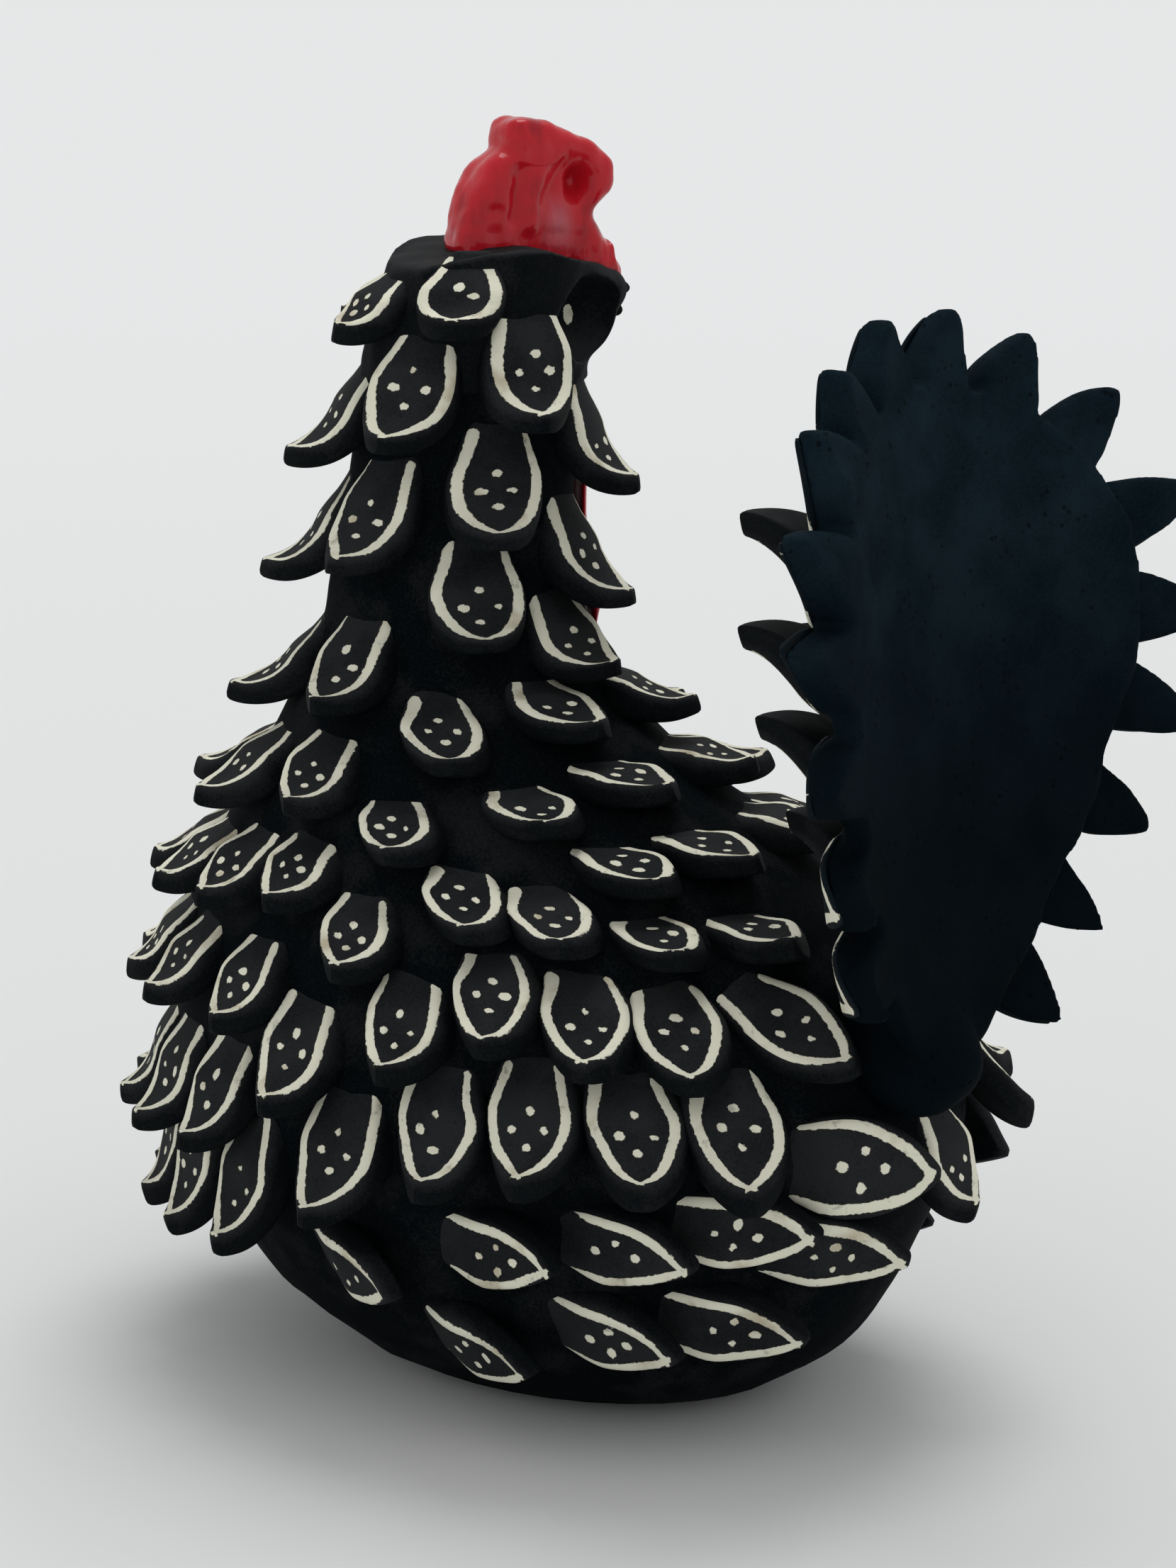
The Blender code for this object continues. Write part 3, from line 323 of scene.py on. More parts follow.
def body_stations():
    """Sections of the body: height, half width, half length, centre along Y."""
    foot_x, foot_y = FOOT_WIDTH / 2, FOOT_LENGTH / 2
    belly_x, belly_y = BELLY_WIDTH / 2, BELLY_LENGTH / 2
    shoulder_x, shoulder_y = SHOULDER_WIDTH / 2, SHOULDER_LENGTH / 2
    neck_x, neck_y = NECK_WIDTH / 2, NECK_LENGTH / 2
    crown = CROWN_WIDTH / 2
    rise, drop = BELLY_HEIGHT, SHOULDER_HEIGHT - BELLY_HEIGHT
    slope, throat = NECK_HEIGHT - SHOULDER_HEIGHT, CROWN_HEIGHT - NECK_HEIGHT
    return np.array((
        (0.0, foot_x, foot_y, 0.002),
        (FOOT_THICKNESS, between(foot_x, belly_x, 0.26), between(foot_y, belly_y, 0.23), 0.002),
        (rise * 0.27, between(foot_x, belly_x, 0.64), between(foot_y, belly_y, 0.58), 0.0),
        (rise * 0.62, between(foot_x, belly_x, 0.90), between(foot_y, belly_y, 0.86), -0.002),
        (rise, belly_x, belly_y, BELLY_CENTRE),
        (rise + drop * 0.38, between(belly_x, shoulder_x, 0.13),
         between(belly_y, shoulder_y, 0.11), between(BELLY_CENTRE, SHOULDER_CENTRE, 0.2)),
        (rise + drop * 0.70, between(belly_x, shoulder_x, 0.48),
         between(belly_y, shoulder_y, 0.42), between(BELLY_CENTRE, SHOULDER_CENTRE, 0.5)),
        (SHOULDER_HEIGHT, shoulder_x, shoulder_y, SHOULDER_CENTRE),
        (SHOULDER_HEIGHT + slope * 0.32, between(shoulder_x, neck_x, 0.45),
         between(shoulder_y, neck_y, 0.49), between(SHOULDER_CENTRE, NECK_CENTRE, 0.65)),
        (SHOULDER_HEIGHT + slope * 0.63, between(shoulder_x, neck_x, 0.82),
         between(shoulder_y, neck_y, 0.85), NECK_CENTRE),
        (NECK_HEIGHT, neck_x, neck_y, NECK_CENTRE),
        (NECK_HEIGHT + throat * 0.38, between(neck_x, crown, 0.38),
         between(neck_y, crown, 0.40), between(NECK_CENTRE, CROWN_CENTRE, 0.28)),
        (NECK_HEIGHT + throat * 0.72, between(neck_x, crown, 0.52),
         between(neck_y, crown, 0.60), between(NECK_CENTRE, CROWN_CENTRE, 0.64)),
        (CROWN_HEIGHT, crown, crown, CROWN_CENTRE),
    ))


def body_table():
    """Heights every tenth of a millimetre, with the body's smoothly joined sections."""
    given = body_stations()
    levels, values = given[:, 0], given[:, 1:]
    slopes = np.empty_like(values)
    for index in range(len(levels)):
        low, high = max(index - 1, 0), min(index + 1, len(levels) - 1)
        slopes[index] = (values[high] - values[low]) / (levels[high] - levels[low])
    heights = np.arange(0.0, CROWN_HEIGHT + 0.00005, 0.0001)
    low = np.clip(np.searchsorted(levels, heights, side="right") - 1, 0, len(levels) - 2)
    step = (levels[low + 1] - levels[low])[:, None]
    share = (heights - levels[low])[:, None] / step
    start, end = values[low], values[low + 1]
    leave, arrive = slopes[low] * step, slopes[low + 1] * step
    cubic = 2 * start - 2 * end + leave + arrive
    square = -3 * start + 3 * end - 2 * leave - arrive
    return heights, ((cubic * share + square) * share + leave) * share + start


BODY_HEIGHTS, BODY_SECTIONS = body_table()


def body_section(height):
    """Half widths, half lengths and centres of the body at heights."""
    return [np.interp(height, BODY_HEIGHTS, BODY_SECTIONS[:, column]) for column in range(3)]


def section_sizes(height):
    """Half width, half length and centre at one height, as plain numbers."""
    return [float(value) for value in body_section(height)]


def body_skin(angle, height):
    """Points of the body's outer surface."""
    half_x, half_y, centre = body_section(height)
    return np.stack([half_x * np.cos(angle), centre + half_y * np.sin(angle), height], axis=-1)


def run_round(angle, height):
    """Run of the body's surface round it, over two small turns."""
    return body_skin(angle + TURN_STEP, height) - body_skin(angle - TURN_STEP, height)


def run_up(angle, height):
    """Run of the body's surface up it, over two small rises."""
    return body_skin(angle, height + RISE_STEP) - body_skin(angle, height - RISE_STEP)


def body_point(angle, height, lift):
    """Points off the body's surface, lifted along its outward normal."""
    angle, height, lift = np.broadcast_arrays(angle, height, lift)
    normal = np.cross(run_round(angle, height), run_up(angle, height))
    normal /= np.linalg.norm(normal, axis=-1, keepdims=True)
    return body_skin(angle, height) + normal * lift[..., None]


def climb(angle, height, distance):
    """Height reached by going a distance up the body's surface."""
    for _ in range(CLIMB_STEPS):
        run = np.linalg.norm(run_up(angle, height), axis=-1)
        height = height + distance / CLIMB_STEPS * (2 * RISE_STEP) / run
    return height


def go_round(angle, height, distance):
    """Angle reached by going a distance round the body's surface."""
    run = np.linalg.norm(run_round(angle, height), axis=-1)
    return angle + distance * (2 * TURN_STEP) / run


def body_place(slot, along, across, lift):
    """Map a feather's own distances to the body, turned from hanging by its sweep."""
    angle, root, sweep = slot
    down = along * math.cos(sweep) - across * math.sin(sweep)
    side = along * math.sin(sweep) + across * math.cos(sweep)
    height = climb(angle, root, -down)
    return body_point(go_round(angle, height, side), height, lift)


# Tail surface

def tail_frame():
    """Directions across, up and to the rear of the tail scoop."""
    across = np.array((math.cos(TAIL_TURN), math.sin(TAIL_TURN), 0.0))
    rearward = np.array((-math.sin(TAIL_TURN), math.cos(TAIL_TURN), 0.0))
    upright = np.array((0.0, 0.0, 1.0))
    upward = upright * math.cos(TAIL_LEAN) - rearward * math.sin(TAIL_LEAN)
    normal = rearward * math.cos(TAIL_LEAN) + upright * math.sin(TAIL_LEAN)
    return (across * math.cos(TAIL_ROLL) + upward * math.sin(TAIL_ROLL),
            upward * math.cos(TAIL_ROLL) - across * math.sin(TAIL_ROLL), normal)


TAIL_ACROSS, TAIL_UP, TAIL_REAR = tail_frame()


def tail_rim(psi):
    """Flat place on the scoop's rim in a direction from its top."""
    height = np.where(np.cos(psi) > 0, TAIL_HALF_HEIGHT, TAIL_STEM)
    taper = np.where(np.cos(psi) > 0, TAIL_TAPER, TAIL_STEM_TAPER)
    return (TAIL_HALF_WIDTH * np.sin(psi) * (1 + taper * np.cos(psi)), height * np.cos(psi))


def tail_point(side, up, lift):
    """Points off the scoop's front face, lifted to the front of it."""
    side, up, lift = np.broadcast_arrays(side, up, lift)
    share = side / TAIL_HALF_WIDTH
    point = (np.array(TAIL_CENTRE) + side[..., None] * TAIL_ACROSS + up[..., None] * TAIL_UP
             + (TAIL_SAG * share ** 2)[..., None] * TAIL_REAR)
    tangent = TAIL_ACROSS + (2 * TAIL_SAG * share / TAIL_HALF_WIDTH)[..., None] * TAIL_REAR
    front = np.cross(tangent, TAIL_UP)
    front /= np.linalg.norm(front, axis=-1, keepdims=True)
    return point + front * (lift + TAIL_THICKNESS / 2)[..., None]


def petal_angle(index):
    """Direction of a petal of the rim from the scoop's top."""
    return PETAL_SPAN * (1 - 2 * index / (PETAL_COUNT - 1))


def petal_place(psi, along, across, lift):
    """Map a rim petal to the front of the scoop, swept back and leant."""
    side, up = (float(value) for value in tail_rim(psi))
    inset = PETAL_SIZE[0] - PETAL_REACH
    radius = math.hypot(side, up)
    side, up = side * (radius - inset) / radius, up * (radius - inset) / radius
    before, after = np.array(tail_rim(psi - TURN_STEP)), np.array(tail_rim(psi + TURN_STEP))
    round_rim = (after - before) / np.linalg.norm(after - before)
    outward = np.array((-round_rim[1], round_rim[0]))
    sweep = float(np.interp(math.degrees(psi), *zip(*PETAL_SWEEPS)))
    lean = math.radians(np.interp(math.degrees(psi), *zip(*PETAL_LEANS)))
    pointing = outward * math.cos(lean) - round_rim * math.sin(lean)
    sideways = round_rim * math.cos(lean) + outward * math.sin(lean)
    side = side + pointing[0] * along + sideways[0] * across
    up = up + pointing[1] * along + sideways[1] * across
    past = np.clip(along - inset, 0.0, None) / PETAL_REACH
    return tail_point(side, up, lift - sweep * past ** 2)


def tail_row_place(slot, along, across, lift):
    """Map a feather of the tail rows, pointing up and fanned to the side."""
    side, up, fan = slot
    return tail_point(side + along * math.sin(fan) + across * math.cos(fan),
                      up + along * math.cos(fan) - across * math.sin(fan), lift)


# Working as by hand

def start_clean():
    """Leave edit mode and deselect everything."""
    if bpy.context.object and bpy.context.object.mode != "OBJECT":
        bpy.ops.object.mode_set(mode="OBJECT")
    bpy.ops.object.select_all(action="DESELECT")


def choose(item):
    """Make one object the only selected one."""
    start_clean()
    item.select_set(True)
    bpy.context.view_layer.objects.active = item


def edit_all(item):
    """Open an object's mesh with all of it selected."""
    choose(item)
    bpy.ops.object.mode_set(mode="EDIT")
    bpy.ops.mesh.select_all(action="SELECT")


def turn_faces_out():
    """Point all faces of the mesh outwards and leave edit mode."""
    bpy.ops.mesh.select_all(action="SELECT")
    bpy.ops.mesh.normals_make_consistent(inside=False)
    bpy.ops.object.mode_set(mode="OBJECT")


def name_it(item, name):
    """Name an object and its mesh."""
    item.name = name
    item.data.name = name
    return item


def copy_of(item):
    """Copy of an object with its own mesh."""
    copy = item.copy()
    copy.data = item.data.copy()
    bpy.context.scene.collection.objects.link(copy)
    return copy


def apply_all(item):
    """Apply every modifier and the object's place, turn and scale."""
    choose(item)
    for modifier in list(item.modifiers):
        bpy.ops.object.modifier_apply(modifier=modifier.name)
    bpy.ops.object.transform_apply(location=True, rotation=True, scale=True)
    return item


def join(items):
    """Join objects into the first of them."""
    start_clean()
    for item in items:
        item.select_set(True)
    bpy.context.view_layer.objects.active = items[0]
    bpy.ops.object.join()
    return items[0]


def remesh(item, voxel, smoothing):
    """Rebuild a joined shape as one soft skin."""
    skin = item.modifiers.new("Skin", "REMESH")
    skin.mode = "VOXEL"
    skin.voxel_size = voxel
    if smoothing:
        soften = item.modifiers.new("Soften", "SMOOTH")
        soften.factor = 0.5
        soften.iterations = smoothing
    apply_all(item)


def points_of(item):
    """Vertex places of an object's mesh as an array."""
    mesh = item.data
    places = np.empty(len(mesh.vertices) * 3)
    mesh.vertices.foreach_get("co", places)
    return places.reshape(-1, 3)


def normals_of(item):
    """Vertex normals of an object's mesh as an array."""
    mesh = item.data
    normals = np.empty(len(mesh.vertices) * 3)
    mesh.vertices.foreach_get("normal", normals)
    return normals.reshape(-1, 3)


def move_points(item, places):
    """Write vertex places back to an object's mesh."""
    item.data.vertices.foreach_set("co", np.asarray(places, float).ravel())
    item.data.update()


def fade_of(away):
    """Strength of a thumb's or a tool's push, 1 at its middle and less with distance."""
    return np.exp(-(away ** 2) * 1.5)[:, None]


def push(item, centre, reach, move):
    """Move the skin near a point, as a thumb does."""
    places = points_of(item)
    away = np.linalg.norm((places - centre) / np.array(reach), axis=1)
    move_points(item, places + fade_of(away) * move)


def crease(item, start, end, reach, move):
    """Move the skin along a line, as a tool drawn over the clay does."""
    places = points_of(item)
    run = end - start
    share = np.clip((places - start) @ run / (run @ run), 0.0, 1.0)
    away = np.linalg.norm(places - start - share[:, None] * run, axis=1) / reach
    move_points(item, places + fade_of(away) * move)


def dent(item, size, depth, seed):
    """Small hand-made lumps over the whole skin."""
    places = points_of(item)
    chance = np.random.default_rng(seed)
    lump = np.zeros(len(places))
    for wave in (size, size / 2.3):
        for _ in range(6):
            way = chance.normal(size=3)
            way *= 2 * math.pi / wave / np.linalg.norm(way)
            lump += np.sin(places @ way + chance.uniform(0, WAVE_START)) * wave / size / 3
    move_points(item, places + normals_of(item) * lump[:, None] * depth)


def set_field(item, name, values):
    """Write a number for every vertex as an attribute."""
    field = item.data.attributes.get(name) or item.data.attributes.new(name, "FLOAT", "POINT")
    field.data.foreach_set("value", np.asarray(values, float))


def finish(item, name, material, *nodes):
    """Name, smooth and hand a finished piece to the hen's body, for the nodes it shows."""
    choose(item)
    bpy.ops.object.mode_set(mode="EDIT")
    turn_faces_out()
    bpy.ops.object.shade_smooth()
    name_it(item, name)
    item.data.materials.clear()
    item.data.materials.append(bpy.data.materials[material])
    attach(item, "root")
    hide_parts(*nodes)


# Materials

def add_node(tree, kind, **settings):
    """Add a node in the next free place of the tree, with its settings."""
    column, row = divmod(len(tree.nodes), NODE_ROWS)
    node = tree.nodes.new(kind)
    node.location = (column * NODE_STEP, -row * NODE_STEP)
    for key, value in settings.items():
        setattr(node, key, value)
    return node


def feed(tree, node, given):
    """Give a node's inputs their values, each from an output or a plain one."""
    for key, value in given.items():
        if isinstance(value, bpy.types.NodeSocket):
            tree.links.new(value, node.inputs[key])
        else:
            node.inputs[key].default_value = value


def object_place(tree):
    """Object coordinates."""
    return add_node(tree, "ShaderNodeTexCoord").outputs["Object"]


def field_value(tree, name):
    """Value of a piece's attribute."""
    return add_node(tree, "ShaderNodeAttribute", attribute_name=name).outputs["Fac"]


def maths(tree, operation, first, second, clamp=False):
    """Result of a sum on two outputs or numbers."""
    node = add_node(tree, "ShaderNodeMath", operation=operation, use_clamp=clamp)
    feed(tree, node, {0: first, 1: second})
    return node.outputs[0]


def spread(tree, value, given, wanted):
    """Map a value's range smoothly to another."""
    node = add_node(tree, "ShaderNodeMapRange", interpolation_type="SMOOTHSTEP")
    feed(tree, node, {"Value": value, "From Min": given[0], "From Max": given[1],
                      "To Min": wanted[0], "To Max": wanted[1]})
    return node.outputs["Result"]


def blend_colours(tree, factor, first, second):
    """Mix two colours, each an output or a plain colour."""
    node = add_node(tree, "ShaderNodeMix", data_type="RGBA")
    colours = [index for index, socket in enumerate(node.inputs) if socket.type == "RGBA"]
    feed(tree, node, {"Factor": factor, colours[0]: first, colours[1]: second})
    return next(socket for socket in node.outputs if socket.type == "RGBA")


def cloud(tree, vector, scale, detail, roughness=0.5):
    """Noise texture on a vector."""
    node = add_node(tree, "ShaderNodeTexNoise")
    feed(tree, node, {"Scale": scale, "Detail": detail, "Roughness": roughness,
                      "Vector": vector})
    return node.outputs["Fac"]


def new_group(name, inputs, outputs):
    """Shader node group with named sockets, its input and output nodes."""
    tree = bpy.data.node_groups.new(name, "ShaderNodeTree")
    for direction, sockets in (("INPUT", inputs), ("OUTPUT", outputs)):
        for socket, kind, value in sockets:
            made = tree.interface.new_socket(socket, in_out=direction, socket_type=kind)
            if value is not None:
                made.default_value = value
    return tree, add_node(tree, "NodeGroupInput"), add_node(tree, "NodeGroupOutput")


def clay_grain_group():
    """Fired clay: soft patches, sandy grain and open pits."""
    tree, given, made = new_group(
        "Clay grain",
        (("Dark", "NodeSocketColor", (0.01, 0.01, 0.01, 1)),
         ("Worn", "NodeSocketColor", (0.03, 0.03, 0.03, 1)),
         ("Wear_and_light", "NodeSocketFloat", 0.5),
         ("Pits", "NodeSocketFloat", 0.5)),
        (("Color", "NodeSocketColor", None), ("Roughness", "NodeSocketFloat", None),
         ("Height", "NodeSocketFloat", None)))
    place = object_place(tree)
    patches = cloud(tree, place, scale=95, detail=4)
    sand = cloud(tree, place, scale=2600, detail=3, roughness=0.7)
    worn = spread(tree, patches, (0.32, 0.72), (-0.35, 0.35))
    # The wear share is random wear, and from the painted pieces also painted light that lightens
    # their upper faces
    share = maths(tree, "ADD", given.outputs["Wear_and_light"], worn, clamp=True)
    grainy = spread(tree, sand, (0.3, 0.7), (-0.22, 0.22))
    share = maths(tree, "ADD", share, grainy, clamp=True)
    colour = blend_colours(tree, share, given.outputs["Dark"], given.outputs["Worn"])

    specks = add_node(tree, "ShaderNodeTexVoronoi")
    feed(tree, specks, {"Scale": 620, "Vector": place})
    sparse = cloud(tree, place, scale=210, detail=2)
    hole = spread(tree, specks.outputs["Distance"], (0.10, 0.34), (1.0, 0.0))
    where = spread(tree, sparse, (0.50, 0.62), (0.0, 1.0))
    hole = maths(tree, "MULTIPLY", hole, where)
    hole = maths(tree, "MULTIPLY", hole, given.outputs["Pits"], clamp=True)

    fine = maths(tree, "MULTIPLY", sand, 0.45)
    broad = maths(tree, "MULTIPLY", patches, 0.8)
    height = maths(tree, "SUBTRACT", maths(tree, "ADD", fine, broad), hole)
    feed(tree, made, {"Color": blend_colours(tree, hole, colour, PIT_CLAY),
                      "Roughness": spread(tree, patches, (0.3, 0.7), (0.66, 0.80)),
                      "Height": height})


def slip_group():
    """Brushed slip: ragged edge, thin places and toasted stains."""
    tree, given, made = new_group(
        "Brushed slip",
        (("Distance", "NodeSocketFloat", 5.0),
         ("Slip", "NodeSocketColor", (0.6, 0.6, 0.45, 1)),
         ("Stain", "NodeSocketColor", (0.4, 0.35, 0.25, 1))),
        (("Mask", "NodeSocketFloat", None), ("Color", "NodeSocketColor", None)))
    place = object_place(tree)
    ragged = cloud(tree, place, scale=1150, detail=3, roughness=0.6)
    edge = spread(tree, ragged, (0.25, 0.75), (-0.11, 0.11))
    distance = maths(tree, "ADD", given.outputs["Distance"], edge)
    mask = spread(tree, distance, (-0.07, 0.05), (1.0, 0.0))
    thin = cloud(tree, place, scale=330, detail=3, roughness=0.65)
    cover = spread(tree, thin, (0.24, 0.40), (0.55, 1.0))
    toast = cloud(tree, place, scale=120, detail=3)
    stain = spread(tree, toast, (0.56, 0.74), (0.0, 0.75))
    feed(tree, made, {
        "Mask": maths(tree, "MULTIPLY", mask, cover),
        "Color": blend_colours(tree, stain, given.outputs["Slip"], given.outputs["Stain"])})


def new_material(name):
    """Empty Principled material's tree and shader."""
    material = bpy.data.materials.new(name)
    material.use_nodes = True
    tree = material.node_tree
    for node in tree.nodes:
        node.location.y += NODE_STEP
    return tree, tree.nodes["Principled BSDF"]


def place_group(tree, name, given):
    """Put a shared group in a material with its own values."""
    node = add_node(tree, "ShaderNodeGroup")
    node.node_tree = bpy.data.node_groups[name]
    feed(tree, node, given)
    return node.outputs


def relief(tree, height, depth):
    """Normal bent by a height, where 1 stands this deep."""
    bump = add_node(tree, "ShaderNodeBump")
    feed(tree, bump, {"Strength": 1.0, "Distance": depth, "Height": height})
    return bump.outputs["Normal"]


def clay_material(name, dark, worn, wear, pits, depth, shade=None):
    """Bare fired clay, with painted shade that darkens it towards the bottom where shade gives
    two heights.
    """
    tree, shader = new_material(name)
    grain = place_group(tree, "Clay grain",
                        {"Dark": dark, "Worn": worn, "Wear_and_light": wear, "Pits": pits})
    colour = grain["Color"]
    # Painted shade: the colour is mixed towards darker clay towards the bottom
    if shade:
        split = add_node(tree, "ShaderNodeSeparateXYZ")
        feed(tree, split, {"Vector": object_place(tree)})
        deep = spread(tree, split.outputs["Z"], shade, (0.80, 0.0))
        colour = blend_colours(tree, deep, colour, SHADE_CLAY)
    feed(tree, shader, {"Base Color": colour, "Roughness": grain["Roughness"],
                        "Specular IOR Level": 0.012,
                        "Normal": relief(tree, grain["Height"], depth)})


def painted_material(name, dark, worn, wear, look):
    """Fired clay with raised pale slip where the piece's paint field is below zero."""
    tree, shader = new_material(name)
    # Painted light: the piece's per-vertex field makes its upper faces lighter in colour
    painted_light = maths(tree, "MULTIPLY", field_value(tree, "painted_light"), wear)
    grain = place_group(tree, "Clay grain",
                        {"Dark": dark, "Worn": worn, "Wear_and_light": painted_light, "Pits": 0.35})
    slip = place_group(tree, "Brushed slip", {"Slip": look.slip, "Stain": look.slip_stain,
                                              "Distance": field_value(tree, "slip_distance")})
    smoother = maths(tree, "MULTIPLY", slip["Mask"], -0.18)
    raised = maths(tree, "MULTIPLY", slip["Mask"], 1.6)
    height = maths(tree, "ADD", grain["Height"], raised)
    feed(tree, shader, {
        "Base Color": blend_colours(tree, slip["Mask"], grain["Color"], slip["Color"]),
        "Roughness": maths(tree, "ADD", grain["Roughness"], smoother),
        "Specular IOR Level": 0.06,
        "Normal": relief(tree, height, 0.00009)})


def glaze_material(name, look):
    """Streaky glossy red glaze, thinner and pinker where it ran, with a painted highlight laid as
    a pale milky patch.
    """
    tree, shader = new_material(name)
    place = object_place(tree)
    stretch = add_node(tree, "ShaderNodeMapping")
    feed(tree, stretch, {"Scale": (1.0, 1.0, 0.16), "Vector": place})
    streaks = cloud(tree, stretch.outputs["Vector"], scale=330, detail=4, roughness=0.6)
    patches = cloud(tree, place, scale=130, detail=3)
    run = maths(tree, "ADD", streaks, patches)
    thin = spread(tree, run, (0.98, 1.28), (0.0, 0.8))
    colour = blend_colours(tree, thin, look.glaze, look.glaze_thin)
    deep = spread(tree, run, (0.66, 0.96), (0.45, 0.0))
    colour = blend_colours(tree, deep, colour, DEEP_GLAZE)
    # Painted highlight: a pale milky colour where the piece's per-vertex field is high
    painted_highlight = maths(tree, "MULTIPLY", field_value(tree, "painted_light"), 0.55)
    feed(tree, shader, {"Base Color": blend_colours(tree, painted_highlight, colour, HIGHLIGHT_GLAZE),
                        "Roughness": spread(tree, patches, (0.3, 0.7), (0.12, 0.30)),
                        "Coat Weight": 0.26, "Coat Roughness": 0.06,
                        "Specular IOR Level": 0.15,
                        "Normal": relief(tree, run, 0.00026)})


def make_materials(look):
    """Shared groups and the hen's materials by name."""
    clay_grain_group()
    slip_group()
    clay, worn = look.clay, look.worn_and_lit_clay
    clay_material("Body clay", clay, worn, wear=0.10, pits=0.5, depth=0.00011)
    clay_material("Head clay", clay, worn, wear=0.80, pits=0.4, depth=0.00009)
    clay_material("Foot clay", clay, worn, wear=0.35, pits=0.7, depth=0.00012)
    # The scoop gets painted shade, darker towards its bottom
    clay_material("Scoop clay", look.scoop_clay, SCOOP_WORN, wear=0.60, pits=0.8,
                  depth=0.00016, shade=(0.085, 0.150))
    # The painted materials also take painted light on their upper faces
    painted_material("Painted clay", clay, worn, 0.80, look)
    painted_material("Painted head clay", clay, worn, 0.85, look)
    painted_material("Painted petal clay", look.scoop_clay, worn, 0.5, look)
    glaze_material("Red glaze", look)


# Feathers

def leaf_width(along):
    """Share of the full width at a place between root 0 and tip 1."""
    along = np.clip(along, 0.0, 1.0)
    return ((0.80 + 0.75 * along - 0.95 * along ** 2)
            * np.clip(1.0 - along ** 2.4, 0.0, None) ** 0.76)


def model_leaf():
    """Flat thick leaf with soft edges: root at the origin, tip along +Y."""
    start_clean()
    total = LEAF_LENGTH + LEAF_HEEL
    bpy.ops.mesh.primitive_grid_add(x_subdivisions=LEAF_COLUMNS, y_subdivisions=LEAF_LINES,
                                    size=1.0)
    leaf = name_it(bpy.context.object, "leaf")
    leaf.scale = (LEAF_WIDTH, total, 1.0)
    leaf.location = (0.0, total / 2 - LEAF_HEEL, 0.0)
    apply_all(leaf)
    bpy.ops.object.mode_set(mode="EDIT")
    bpy.ops.mesh.select_mode(type="VERT")
    bm = bmesh.from_edit_mesh(leaf.data)
    for level in sorted({round(vert.co.y, 6) for vert in bm.verts}):
        for vert in bm.verts:
            vert.select = abs(vert.co.y - level) < 1e-5
        bm.select_flush_mode()
        bmesh.update_edit_mesh(leaf.data)
        share = leaf_width(max(level, 0.0) / LEAF_LENGTH * LEAF_REACH)
        if level < 0:
            share *= 1.0 - HEEL_TAPER * (level / LEAF_HEEL) ** 2
        bpy.ops.transform.resize(value=(float(share), 1.0, 1.0), center_override=(0, level, 0))
        bm = bmesh.from_edit_mesh(leaf.data)
    bpy.ops.mesh.select_all(action="SELECT")
    for scale in (LEAF_SWELL, 1.0 / LEAF_SWELL):
        bpy.ops.mesh.extrude_region_move(
            TRANSFORM_OT_translate={"value": (0, 0, LEAF_THICKNESS / 2)})
        bpy.ops.transform.resize(value=(scale, 1.0, 1.0), center_override=(0, 0, 0))
    turn_faces_out()
    smooth = leaf.modifiers.new("Soft", "SUBSURF")
    smooth.levels = smooth.render_levels = 1
    apply_all(leaf)


def spine(share, length, root_curl, tip_curl):
    """Distance along the surface and off it, and heading, on a curling spine."""
    ahead = np.clip(share, 0.0, None)
    turn = tip_curl - root_curl
    along, lift = np.minimum(share, 0.0) * length, np.zeros_like(share)
    for part in range(SPINE_PARTS):
        heading = root_curl + turn * ((part + 0.5) / SPINE_PARTS * ahead) ** CURL_POWER
        along = along + np.cos(heading) * length * ahead / SPINE_PARTS
        lift = lift + np.sin(heading) * length * ahead / SPINE_PARTS
    return along, lift, root_curl + turn * ahead ** CURL_POWER


def slope_curl(angle, height, tip_curl):
    """Tip's curl at a place: less where the body slopes to the neck."""
    run = run_up(angle, height)
    inward = -run[0] * math.cos(angle) - run[1] * math.sin(angle)
    return tip_curl - SLOPE_SHARE * max(math.atan2(inward, run[2]), 0.0)


def petal_fullness(share):
    """How much wider than the flat leaf a petal is at a place along it."""
    share = np.clip(share, 0.0, 1.0) * LEAF_REACH
    return 0.97 * (1.0 - share ** 3.0) ** 0.90 / leaf_width(share)


def stroke_distance(across, along, line):
    """Distance in mm outside a brush stroke, given as points with a width each."""
    best = np.full(across.shape, FAR_AWAY)
    for (ax, ay, wide_a), (bx, by, wide_b) in zip(line, line[1:]):
        run_x, run_y = bx - ax, by - ay
        share = np.clip(((across - ax) * run_x + (along - ay) * run_y)
                        / (run_x * run_x + run_y * run_y + 1e-12), 0.0, 1.0)
        away = np.hypot(across - ax - share * run_x, along - ay - share * run_y)
        best = np.minimum(best, away - (wide_a + (wide_b - wide_a) * share) / 2)
    return best


def smooth_line(points):
    """Points of a soft curve through the given ones."""
    points = [points[0], *points, points[-1]]
    line = []
    for a, b, c, d in zip(points, points[1:], points[2:], points[3:]):
        for step in range(LINE_STEPS):
            t = step / LINE_STEPS
            line.append(tuple(0.5 * (2 * q + (r - p) * t + (2 * p - 5 * q + 4 * r - s) * t * t
                                     + (3 * q - p - 3 * r + s) * t ** 3)
                              for p, q, r, s in zip(a, b, c, d)))
    line.append(points[-1])
    return line


